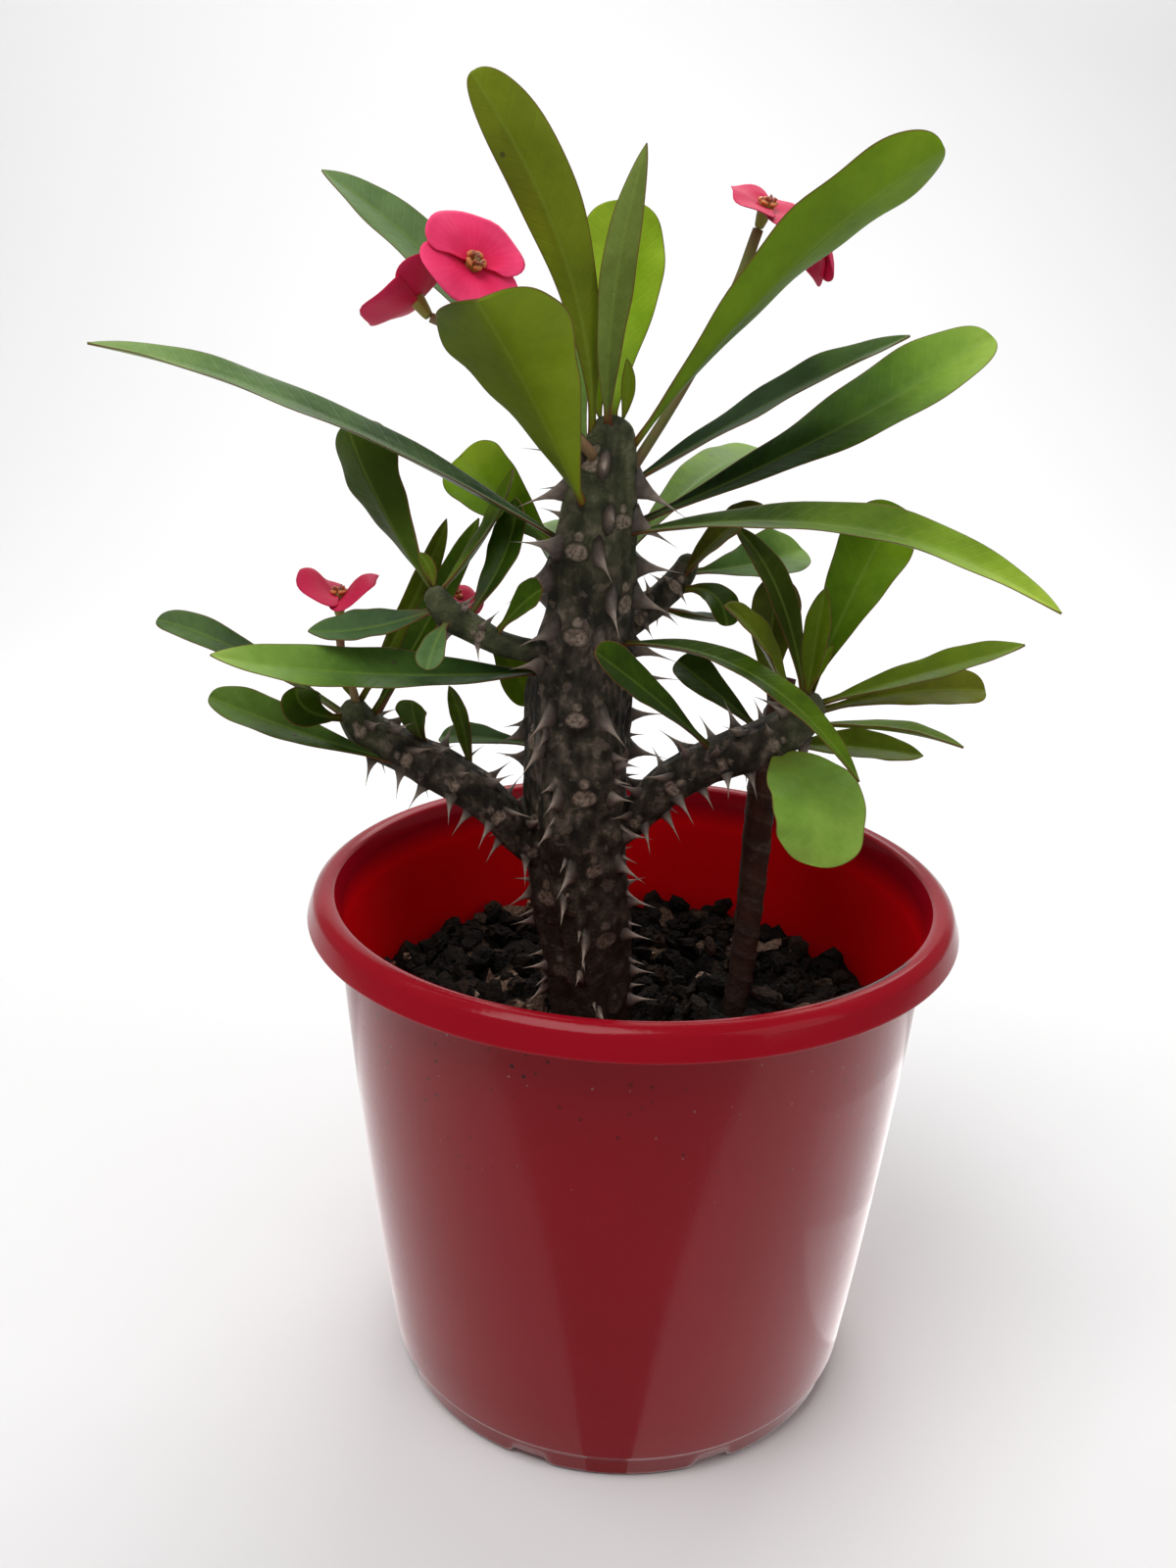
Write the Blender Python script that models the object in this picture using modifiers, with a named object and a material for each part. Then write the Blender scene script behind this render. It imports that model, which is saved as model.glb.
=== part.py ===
"""Crown of thorns plant in a red plastic pot, at its real size.

The origin is the middle of the pot's foot on the ground, +Z is up and -Y is the front.
Driving sizes are in millimetres and are turned into metres where the meshes are made.
"""

import math

import bmesh
import bpy
import numpy as np
from mathutils import Matrix, Vector
from mathutils.bvhtree import BVHTree

MM = 0.001
GAP = 0.3  # clearance left between touching pieces
UP = Vector((0, 0, 1))

# Pot
POT_HEIGHT = 165.0
LIP_RADIUS = 100.0
MOUTH_RADIUS = 92.0
WALL_TOP_RADIUS = 91.0
WALL_FOOT_RADIUS = 75.6
WALL_BULGE = 1.3
POT_WALL = 1.8
LIP_DROP = 8.5
FOOT_HEIGHT = 9.0
FOOT_RADIUS = 73.8
FOOT_RING = 3.0
PAD_RADIUS = 54.0  # flat middle of the underside, level with the foot ring
CHANNEL_HEIGHT = 5.0
POT_SIDES = 48
DRAIN_COUNT = 8
DRAIN_WIDTH = 12.0
DRAIN_REACH = 12.0

# Soil
SOIL_LEVEL = 117.0
SOIL_LUMP = 3.0
CHIP_COUNT = 28
STEM_DEPTH = 40.0  # how far a stem stands in the soil

# Stems: (x, y, z, radius) along each axis
STEM_PATHS = {
    "trunk": [
        (-12, 0, SOIL_LEVEL - STEM_DEPTH, 12.4), (-12, 0, 117, 12.6), (-13, 0, 132, 13.0),
        (-16, 0, 163, 14.5), (-18, 0, 195, 15.4), (-18, 0, 226, 14.6), (-16, 0, 250, 13.0),
        (-15, 0, 267, 12.0), (-13, 0, 284, 9.4), (-11, 0, 297, 7.0), (-11, 0, 305, 4.6),
    ],
    "low_left": [
        (-20, 0, 168, 5.0), (-32, -2, 176, 5.4), (-44, -4, 190, 6.2), (-59, -4, 200, 6.6),
        (-71, -4, 206, 6.4), (-81, -4, 212, 5.8), (-87, -4, 221, 4.0),
    ],
    "up_left": [
        (-20, -3, 235, 3.4), (-30, -8, 238, 3.4), (-41, -10, 241, 3.6), (-50, -11, 246, 4.2),
        (-56, -12, 250, 4.2), (-61, -12, 257, 3.0),
    ],
    "right": [
        (-10, 0, 177, 5.0), (-2, -2, 184, 5.4), (9, -4, 197, 6.0), (20, -4, 204, 6.6),
        (35, -3, 210, 6.8), (46, -2, 216, 6.2), (53, -2, 226, 4.2),
    ],
    "back": [
        (-12, 3, 238, 3.6), (-3, 8, 244, 4.0), (6, 14, 251, 4.2), (12, 17, 257, 4.0), (15, 19, 263, 2.8),
    ],
}
YOUNG_PATH = [
    (35, 6, SOIL_LEVEL - STEM_DEPTH, 3.9), (35, 6, 117, 3.9), (37, 8, 132, 4.1), (39, 12, 159, 4.5),
    (41, 18, 191, 4.8), (44, 22, 209, 4.4), (47, 25, 224, 3.2),
]
TRUNK_RIBS = 5
BRANCH_RIBS = 4
RIB_HEIGHT = 0.09  # share of the stem's radius
TRUNK_TWIST = -0.45  # degrees the ribs turn for each millimetre of height
VALLEY_FACES_FRONT_AT = 215.0
RIBS_START = SOIL_LEVEL + 6
SPINE_BASE = 1.9
SPINE_SINK = 2.2
SPINE_LENGTH = 11.5
SPINE_STEP = 24.0
BRANCH_SPINE_LENGTH = 8.0
BRANCH_SPINE_STEP = 12.0

# Leaves
BLADE = 0.8
PETIOLE_WIDTH = 3.4
LEAF_STATIONS = (0.0, 0.12, 0.3, 0.5, 0.68, 0.83, 0.94, 1.0)
SMALL_LEAF_STATIONS = (0.0, 0.25, 0.5, 0.75, 0.92, 1.0)
SMALL_LEAF = 13  # leaves up to this width get fewer faces
RIB_ROOM = 0.022  # share of the stem's radius kept free for its ribs
LEAVES_LEAN = 0.08  # leaves leave their stem outwards before they rise
SPOON = (1.35, 0.42)  # how the outline opens from the stalk and closes at the tip
LANCE = (1.05, 0.80)

FRONT, BACK, LEFT, RIGHT = (0, -1, 0.3), (0, 1, 0.3), (-1, 0, 0.5), (1, 0, 0.5)
FLAT = (0, 0, 1)
TILTED = (0, -0.6, 1)  # lies open towards the front

# name: (stem, height or share along it, tip, width, arch, side the upper face looks to, outline)
LEAVES = {
    "leaf_crown_tall": ("trunk", 0.965, (-49, -14, 389), 18, (5.8, 0, 0), (-0.2, 1, 0.4), SPOON),
    "leaf_crown_folded": ("trunk", 0.985, (-4, -9, 374), 11, (-2.5, 0, 0), (-0.5, -1, 0.1), LANCE),
    "leaf_crown_bright": ("trunk", 0.98, (-9, 22, 362), 25, (0, 3, 0), FRONT, SPOON),
    "leaf_crown_big_right": ("trunk", 0.96, (71, -18, 374), 24, (-5.5, 0, 9), (-0.7, 0.9, 0.5), SPOON),
    "leaf_crown_back_left": ("trunk", 0.95, (-95, 30, 368), 18, (3, 0, 8), TILTED, LANCE),
    "leaf_crown_front": ("trunk", 0.885, (-44, -60, 335), 33, (1, 0, 5), (0.1, 0.8, 0.7), SPOON),
    "leaf_long_left": ("trunk", 0.84, (-151, -15, 321), 17, (0, 0, 9), (0, -0.25, 1), LANCE),
    "leaf_right_broad": ("trunk", 0.865, (99, 22, 328), 23, (0, 0, 0), (-0.3, -0.8, 0.8), SPOON),
    "leaf_right_narrow": ("trunk", 0.92, (71, 2, 328), 17, (0, 0, 5), (-0.3, -0.3, 1), LANCE),
    "leaf_right_arching": ("trunk", 0.86, (109, -40, 260), 19, (0, 0, 13), (0.1, -0.4, 1), LANCE),
    "leaf_behind_left": ("trunk", 0.82, (-56, 30, 289), 21, (0, 0, 1), FRONT, SPOON),
    "leaf_low_long": ("trunk", 0.672, (-118, -36, 242), 17, (0, -2, -2), TILTED, LANCE),
    "leaf_low_arching": ("trunk", 0.72, (60, -38, 211), 12, (0, 0, 12), (0.2, -0.3, 1), LANCE),
    "leaf_side_right": ("back", 0.55, (31, 26, 242), 9, (0, 0, 0), FLAT, LANCE),
    "leaf_hip_left": ("trunk", 0.56, (-62, 27, 201), 10, (0, 0, 1), TILTED, SPOON),
    "leaf_rear_high": ("trunk", 0.90, (-36, 84, 328), 24, (0, 0, 5), (0, -0.5, 1), SPOON),
    "leaf_rear_right": ("trunk", 0.80, (44, 88, 287), 21, (0, 0, 9), FLAT, SPOON),
    "leaf_rear_low": ("trunk", 0.75, (-34, 84, 260), 19, (0, 0, 8), FLAT, LANCE),
    "leaf_upper_paddle": ("up_left", 0.98, (-86, 8, 300), 22, (-3, 1, 0), (0.4, 0.9, 0.3), SPOON),
    "leaf_upper_folded": ("up_left", 0.95, (-39, 11, 288), 10, (2, 3, 0), (-1, -0.5, 0.4), LANCE),
    "leaf_upper_dark": ("up_left", 0.70, (-38, 8, 280), 12, (3, 0, 0), (-0.6, -0.8, 0.3), LANCE),
    "leaf_upper_near": ("up_left", 0.52, (-29, -20, 259), 10, (0, 0, 1), (-0.6, -0.8, 0.6), SPOON),
    "leaf_upper_side": ("up_left", 0.88, (-94, -22, 246), 12, (0, 0, -1), TILTED, LANCE),
    "leaf_upper_small": ("up_left", 0.80, (-60, -31, 238), 8, (0, 0, 2), TILTED, SPOON),
    "leaf_upper_hanging": ("up_left", 0.56, (-33, 14, 216), 11, (0, 4, 4), FRONT, SPOON),
    "leaf_lower_rising": ("low_left", 0.95, (-145, 9, 241), 11, (0, 0, 6), TILTED, SPOON),
    "leaf_lower_long": ("low_left", 0.74, (-124, -17, 225), 14, (0, 1, 1), TILTED, SPOON),
    "leaf_lower_short": ("low_left", 0.955, (-97, -27, 231), 12, (-2, -2, -1), (0.4, -1, 0.2), SPOON),
    "leaf_lower_rod": ("low_left", 0.97, (-59, 18, 272), 8, (0, 0, 0), (0.3, -1, -0.2), LANCE),
    "leaf_lower_blade": ("low_left", 0.90, (-49, 14, 273), 10, (0, 0, 0), (-0.6, -1, 0.4), LANCE),
    "leaf_lower_bract": ("low_left", 0.66, (-67, -6, 222), 10, (-2, 0, 0), (-0.4, -1, 0), SPOON),
    "leaf_back_brown": ("back", 0.80, (34, 8, 280), 12, (0, 0, 3), (-0.5, -0.6, 1), LANCE),
    "leaf_back_pale": ("back", 0.88, (52, 46, 261), 19, (0, 0, 0), (-0.2, -0.8, 0.7), SPOON),
    "leaf_back_hanging": ("back", 0.72, (25, 2, 245), 10, (2, 0, 5), (0.4, -1, 0.5), SPOON),
    "leaf_right_curled": ("right", 0.96, (27, 17, 272), 10, (5, 0, 4), (0.4, -0.8, 0.5), LANCE),
    "leaf_right_olive": ("right", 0.90, (22, -17, 255), 13, (2, 0, 4), (0.5, -0.5, 0.9), LANCE),
    "leaf_right_upright": ("right", 0.985, (75, 14, 280), 22, (1, 0, 0), (-0.5, -1, 0.1), SPOON),
    "leaf_right_slip": ("right", 0.975, (51, -12, 260), 8, (1, 0, 0), (-0.5, -1, 0), LANCE),
    "leaf_right_level": ("right", 0.985, (109, -13, 245), 12, (0, 0, 3), (0, -0.4, 1), LANCE),
    "leaf_right_grey": ("right", 0.94, (106, 11, 225), 14, (0, 0, 4), (0, -0.7, 0.8), SPOON),
    "leaf_right_low": ("right", 0.90, (92, -23, 217), 9, (0, 0, 4), FLAT, LANCE),
    "leaf_right_under": ("right", 0.80, (88, 6, 205), 12, (0, 0, 3), TILTED, LANCE),
    "leaf_right_spoon": ("right", 0.76, (50, -33, 181), 28, (4, -5, 4), (0.3, -1, 0.5), SPOON),
    "leaf_right_inner": ("right", 0.54, (-14, -34, 245), 13, (0, 0, 0), (0.7, -0.8, 0.8), SPOON),
    "leaf_young_grey": ("young", 0.87, (13, 34, 226), 13, (0, 0, 2), (0.2, -0.8, 0.8), SPOON),
    "leaf_young_round": ("young", 0.93, (45, 38, 253), 16, (0, 0, 0), (0.1, -1, 0.2), SPOON),
}

# Degrees by which a leaf's foot stands round its stem from the side nearest its tip
FOOT_TURN = {"leaf_crown_folded": -60, "leaf_lower_short": -35}

# name: points (x, y, z) of each arm of the flower stalk, and its thickness
STALKS = {
    "stalk_high_left": ([[(-17.4, -6.4, 296), (-34, -9, 312), (-48, -12, 327), (-51, -17, 340)],
                         [(-48, -12, 327), (-67, -13, 335)]], 1.5),
    "stalk_high_right": ([[(-4, 4, 291), (10, 10, 313), (23, 16, 338), (29, 18, 355)],
                          [(23, 16, 338), (42, 22, 350)]], 1.5),
    "stalk_low_left": ([[(-84, -6, 224), (-88, -3, 235), (-89, 1, 245)]], 1.2),
    "stalk_inner_left": ([[(-79.2, 2.5, 214.8), (-70, 14, 230), (-60, 24, 241)]], 1.2),
}
# name: (foot of the bloom, way it faces, radius of its bracts, turn about its axis, how far they lean back)
BLOOMS = {
    "bloom_high_left_front": ((-51, -17, 340), (0.50, -0.70, 0.55), 14.5, 8, 0.10),
    "bloom_high_left_side": ((-67, -13, 335), (-0.30, -0.10, 0.93), 13.5, 80, -0.40),
    "bloom_high_right_front": ((29, 18, 355), (0.0, -0.55, 0.85), 10.5, 60, -0.1),
    "bloom_high_right_side": ((42, 22, 350), (0.80, 0.20, 0.35), 11.0, 80, -0.25),
    "bloom_low_left": ((-89, 1, 245), (0, -0.05, 1), 11.8, 84, -0.2),
    "bloom_inner_left": ((-60, 24, 241), (0.35, -0.1, 1), 9.5, 20, 0.0),
}
CUP_HEIGHT = 7.0
CUP_RADIUS = 2.4

PLASTIC_RED = (0.42, 0.012, 0.022)
SOIL_BLACK = (0.022, 0.016, 0.012)
BARK_GREY = (0.085, 0.068, 0.055)
YOUNG_BARK = (0.12, 0.045, 0.032)
LEAF_GREEN = (0.10, 0.24, 0.03)
STALK_GREEN = (0.22, 0.20, 0.07)
BRACT_PINK = (0.62, 0.02, 0.10)


def clear_scene():
    for old in list(bpy.data.objects):
        bpy.data.objects.remove(old, do_unlink=True)


def new_collection(name):
    made = bpy.data.collections.new(name)
    bpy.context.scene.collection.children.link(made)
    return made


def new_material(name, colour, roughness):
    made = bpy.data.materials.new(name)
    made.use_nodes = True
    shader = made.node_tree.nodes["Principled BSDF"]
    shader.inputs["Base Color"].default_value = (*colour, 1)
    shader.inputs["Roughness"].default_value = roughness
    return made


def add_object(name, mesh, collection, material=None):
    made = bpy.data.objects.new(name, mesh)
    collection.objects.link(made)
    if material:
        made.data.materials.append(material)
    return made


def mesh_from_bmesh(name, bm):
    mesh = bpy.data.meshes.new(name)
    bm.to_mesh(mesh)
    bm.free()
    return mesh


def applied(obj):
    """Replaces obj's mesh by what its modifiers make of it."""
    graph = bpy.context.evaluated_depsgraph_get()
    mesh = bpy.data.meshes.new_from_object(obj.evaluated_get(graph))
    obj.modifiers.clear()
    obj.data = mesh


def join_by_union(obj, collection, solver="MANIFOLD"):
    """Joins all objects of the collection to obj, then removes them."""
    union = obj.modifiers.new("join", "BOOLEAN")
    union.operation = "UNION"
    union.solver = solver
    union.operand_type = "COLLECTION"
    union.collection = collection
    applied(obj)
    for tool in list(collection.objects):
        bpy.data.objects.remove(tool, do_unlink=True)
    bpy.data.collections.remove(collection)


def cut_away(obj, cutters, solver="EXACT"):
    for cutter in cutters:
        cutter.hide_render = True
        cutter.display_type = "WIRE"
        cut = obj.modifiers.new(cutter.name, "BOOLEAN")
        cut.operation = "DIFFERENCE"
        cut.solver = solver
        cut.object = cutter


def smooth_path(points, steps):
    """Points of a smooth curve through the given ones, with any radius carried along."""
    p = np.array(points, float)
    p = np.vstack([2 * p[0] - p[1], p, 2 * p[-1] - p[-2]])
    found = []
    for a, b, c, d in zip(p, p[1:], p[2:], p[3:]):
        for t in np.arange(steps) / steps:
            found.append(0.5 * (2 * b + (c - a) * t + (2 * a - 5 * b + 4 * c - d) * t**2
                                + (3 * b - a - 3 * c + d) * t**3))
    return np.array(found + [p[-2]])


class Stem:
    """A stem's axis with its radius, ribs and the places of its spines."""

    def __init__(self, points, sides, ribs=BRANCH_RIBS, twist=0.0):
        self.line = smooth_path(points, 4)
        self.face_turn = 2 * math.pi / sides
        self.sides_round = sides
        self.ribs = ribs
        self.twist = twist
        along = np.linalg.norm(np.diff(self.line[:, :3], axis=0), axis=1)
        self.at = np.concatenate([[0], np.cumsum(along)])
        self.length = self.at[-1]

    def point(self, distance):
        """Centre, radius and direction at a distance along the axis."""
        row = np.array([np.interp(distance, self.at, self.line[:, k]) for k in range(4)])
        near = min(distance + 1, self.length)
        ahead = np.array([np.interp(near, self.at, self.line[:, k]) for k in range(3)])
        back = np.array([np.interp(near - 2, self.at, self.line[:, k]) for k in range(3)])
        return Vector(row[:3]), float(row[3]), Vector(ahead - back).normalized()

    def sides(self, direction):
        """Two directions across the stem: the first points to the front."""
        guide = Vector((0, -1, 0))
        across = (guide - direction * guide.dot(direction)).normalized()
        return across, direction.cross(across)

    def valley_angle(self, centre):
        """Angle of the first valley between two ribs."""
        return math.radians(self.twist * (centre.z - VALLEY_FACES_FRONT_AT))

    def radius(self, distance, angle):
        """Distance from the axis to the tube's flat-sided surface."""
        centre, radius, direction = self.point(distance)
        off_middle = angle % self.face_turn - self.face_turn / 2
        radius *= math.cos(self.face_turn / 2) / math.cos(off_middle)
        rise = 0.0
        if centre.z > RIBS_START:
            fade = min(1.0, (centre.z - RIBS_START) / 15)
            rise = -RIB_HEIGHT * fade * math.cos(self.ribs * (angle - self.valley_angle(centre)))
        return radius * (1 + rise)

    def surface(self, distance, angle, lift=0.0):
        centre, radius, direction = self.point(distance)
        across, other = self.sides(direction)
        out = across * math.cos(angle) + other * math.sin(angle)
        return centre + out * (self.radius(distance, angle) + lift), out, direction

    def angle_towards(self, distance, target):
        centre, radius, direction = self.point(distance)
        across, other = self.sides(direction)
        way = Vector(target) - centre
        return math.atan2(way.dot(other), way.dot(across))


def tube_mesh(name, stem, ring_step, lift=0.0):
    """A closed tube round the stem's axis, whose radius follows the stem's ribs."""
    sides = stem.sides_round
    rings = max(4, round(stem.length / ring_step))
    bm = bmesh.new()
    loops = []
    for distance in np.linspace(0, stem.length, rings + 1):
        turn = [2 * math.pi * k / sides for k in range(sides)]
        places = [stem.surface(distance, a, lift)[0] * MM for a in turn]
        loops.append([bm.verts.new(p) for p in places])
    for low, high in zip(loops, loops[1:]):
        for k in range(sides):
            j = (k + 1) % sides
            bm.faces.new((low[k], low[j], high[j], high[k]))
    bm.faces.new(loops[0][::-1])
    bm.faces.new(loops[-1])
    bmesh.ops.recalc_face_normals(bm, faces=bm.faces)
    return mesh_from_bmesh(name, bm)


def spine_mesh(name, base, out, along, length, width):
    """A thorn in millimetres: a three-sided cone, wider along the stem, sunk into it."""
    bm = bmesh.new()
    depth = length + SPINE_SINK
    bmesh.ops.create_cone(bm, cap_ends=True, segments=3, radius1=width, radius2=0.12, depth=depth)
    bmesh.ops.translate(bm, verts=bm.verts, vec=(0, 0, depth / 2 - SPINE_SINK))
    side = along.cross(out).normalized()
    turn = Matrix((side * 0.8, out.cross(side) * 1.35, out)).transposed().to_4x4()
    bmesh.ops.transform(bm, matrix=Matrix.Translation(base) @ turn, verts=bm.verts)
    bmesh.ops.recalc_face_normals(bm, faces=bm.faces)
    return bm


def thorns_of(stem, start, step, length):
    """Base, way out, stem direction, length and width of each thorn, two at each leaf scar."""
    found = []
    spacing = 2 * math.pi / stem.ribs
    for rib in range(stem.ribs):
        first = start + step * ((rib * 2) % stem.ribs) / stem.ribs
        for number, distance in enumerate(np.arange(first, stem.length - 0.4 * step, step)):
            centre, _, _ = stem.point(distance)
            scar = stem.valley_angle(centre) + rib * spacing
            for side in (-1, 1):
                size = length * (0.85 + 0.15 * math.sin(3 * number + 5 * rib + side))
                base, out, along = stem.surface(distance, scar + side * 0.42 * spacing)
                lean = (out - along * (0.22 * math.sin(2 * number + rib))).normalized()
                found.append((base, lean, along, size, SPINE_BASE))
    return found


def tree_of(objects):
    """One search tree of the faces of many objects, in millimetres."""
    points = []
    faces = []
    for obj in objects:
        first = len(points)
        mesh = obj.evaluated_get(bpy.context.evaluated_depsgraph_get()).to_mesh()
        points += [v.co / MM for v in mesh.vertices]
        faces += [tuple(first + k for k in p.vertices) for p in mesh.polygons]
    return BVHTree.FromPolygons(points, faces)


def petiole_width(width):
    """Width of a leaf's foot, narrower on a small leaf."""
    return min(PETIOLE_WIDTH, 0.28 * width)


def blade_frame(along, looks):
    """Unit vectors across the blade and out of its upper face."""
    look = Vector(looks)
    normal = (look - along * look.dot(along)).normalized()
    return along.cross(normal), normal


def leaf_curve(stem, share, tip, width, arch, looks, foot_turn):
    """Base, control point and tip of the parabola along a leaf's midrib.

    The base stands off the stem by the gap and by as much as the blade's corners reach towards it.
    """
    distance = share * stem.length
    tip = Vector(tip)
    angle = stem.angle_towards(distance, tip) + math.radians(foot_turn)
    base, out, _ = stem.surface(distance, angle, GAP)
    control = (base + tip) / 2 + 2 * Vector(arch) + out * (LEAVES_LEAN * (tip - base).length)
    side, normal = blade_frame((control - base).normalized(), looks)
    lift = RIB_ROOM * stem.point(distance)[1] + BLADE / 2 * abs(normal.dot(out))
    base += out * (lift + petiole_width(width) / 2 * abs(side.dot(out)))
    return base, control, tip


def bezier(base, control, tip, t):
    place = base * (1 - t) ** 2 + control * 2 * t * (1 - t) + tip * t * t
    along = ((control - base) * (1 - t) + (tip - control) * t).normalized()
    return place, along


def leaf_width(t, width, outline):
    """Width across the blade at a share t of its length."""
    opens, closes = outline
    peak = opens / (opens + closes)
    top = peak**opens * (1 - peak) ** closes
    return max(width * t**opens * (1 - t) ** closes / top, petiole_width(width) * (1 - 0.75 * t))


def leaf_object(name, row, stem, collection, material, seed):
    """A thin blade: a grid laid along the midrib, folded along it and given its thickness."""
    _, share, tip, width, arch, looks, outline = row
    curve = leaf_curve(stem, share, tip, width, arch, looks, FOOT_TURN.get(name, 0))
    stations = SMALL_LEAF_STATIONS if width <= SMALL_LEAF else LEAF_STATIONS
    steps = len(stations) - 1
    bm = bmesh.new()
    bmesh.ops.create_grid(bm, x_segments=2 if width <= SMALL_LEAF else 4, y_segments=steps, size=1.0)
    for vert in bm.verts:
        side = vert.co.x
        t = stations[round((vert.co.y + 1) / 2 * steps)]
        place, along = bezier(*curve, t)
        across, normal = blade_frame(along, looks)
        half = leaf_width(t, width, outline) / 2
        fold = 0.30 * abs(side) ** 1.3 - 0.05
        wave = 0.07 * side * side * math.sin(9 * t + seed) * (4 * t * (1 - t))
        vert.co = (place + across * (side * half) + normal * (half * (fold + wave))) * MM
    bmesh.ops.triangulate(bm, faces=bm.faces)
    bmesh.ops.recalc_face_normals(bm, faces=bm.faces)
    leaf = add_object(name, mesh_from_bmesh(name, bm), collection, material)
    wall = leaf.modifiers.new("thickness", "SOLIDIFY")
    wall.thickness = BLADE * MM
    wall.offset = 0
    leaf.data.shade_smooth()
    return leaf


def wall_radius(z):
    """Outer radius of the pot's wall: a cone that bulges a little."""
    t = (z - FOOT_HEIGHT) / (POT_HEIGHT - LIP_DROP - FOOT_HEIGHT)
    return WALL_FOOT_RADIUS + (WALL_TOP_RADIUS - WALL_FOOT_RADIUS) * t + WALL_BULGE * 4 * t * (1 - t)


def turned(name, profile, collection, material, steps=POT_SIDES):
    """A turned solid whose profile, in millimetres, starts and ends on the axis."""
    mesh = bpy.data.meshes.new(name)
    points = [(r * MM, 0, z * MM) for r, z in profile]
    mesh.from_pydata(points, [(k, k + 1) for k in range(len(points) - 1)], [])
    made = add_object(name, mesh, collection, material)
    screw = made.modifiers.new("turn", "SCREW")
    screw.steps = screw.render_steps = steps
    screw.use_merge_vertices = True
    screw.merge_threshold = 0.00001
    return made


def pot_profile():
    top = POT_HEIGHT
    floor = [(0, POT_WALL), (PAD_RADIUS - 1, POT_WALL), (PAD_RADIUS + 1, CHANNEL_HEIGHT + POT_WALL)]
    floor.append((FOOT_RADIUS - 5, CHANNEL_HEIGHT + POT_WALL))
    inner = [(wall_radius(z) - POT_WALL, z) for z in (FOOT_HEIGHT + 4, 45, 80, 117)]
    lip = [
        (MOUTH_RADIUS - 1.6, top - 4), (MOUTH_RADIUS - 0.2, top), (MOUTH_RADIUS + 3, top + 0.2),
        (MOUTH_RADIUS + 6, top - 1.6), (LIP_RADIUS, top - LIP_DROP), (LIP_RADIUS - 1.6, top - LIP_DROP),
        (MOUTH_RADIUS + 4.4, top - 3.4), (MOUTH_RADIUS + 1.0, top - 3.6),
    ]
    outer = [(wall_radius(z), z) for z in (top - LIP_DROP, 117, 80, 45, FOOT_HEIGHT)]
    foot = [
        (FOOT_RADIUS, FOOT_HEIGHT - 1.5), (FOOT_RADIUS - 1, 1.2), (FOOT_RADIUS - 2, 0),
        (FOOT_RADIUS - 2 - FOOT_RING, 0), (FOOT_RADIUS - 2 - FOOT_RING, CHANNEL_HEIGHT),
        (PAD_RADIUS + 2.5, CHANNEL_HEIGHT), (PAD_RADIUS + 0.5, 0), (0, 0),
    ]
    return floor + inner + lip + outer + foot


def make_pot(collection, cutters, material):
    """The pot with its turned-over lip, foot ring and the drain slots through the foot's corner."""
    pot = turned("pot", pot_profile(), collection, material)
    applied(pot)
    drains = []
    for k in range(DRAIN_COUNT):
        angle = 2 * math.pi * (k + 0.5) / DRAIN_COUNT
        bm = bmesh.new()
        bmesh.ops.create_cube(bm, size=1.0)
        size = Matrix.Diagonal((DRAIN_REACH * MM, DRAIN_WIDTH * MM, 8 * MM, 1))
        place = Matrix.Translation(((FOOT_RADIUS - 3) * MM, 0, -0.8 * MM))
        bmesh.ops.transform(bm, matrix=Matrix.Rotation(angle, 4, "Z") @ place @ size, verts=bm.verts)
        drains.append(add_object(f"drain_cutter_{k}", mesh_from_bmesh("drain", bm), cutters))
    cut_away(pot, drains)
    applied(pot)
    return pot


def soil_height(x, y):
    """Lumpy top of the soil: a few waves that cross each other, higher to the left and the back."""
    lump = math.sin(0.21 * x + 0.13 * y) * math.sin(0.17 * y - 0.08 * x + 1.1)
    lump += 0.6 * math.sin(0.43 * x + 2.1) * math.sin(0.39 * y + 0.4)
    return SOIL_LEVEL + SOIL_LUMP * lump - 0.02 * x + 0.02 * y


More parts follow.
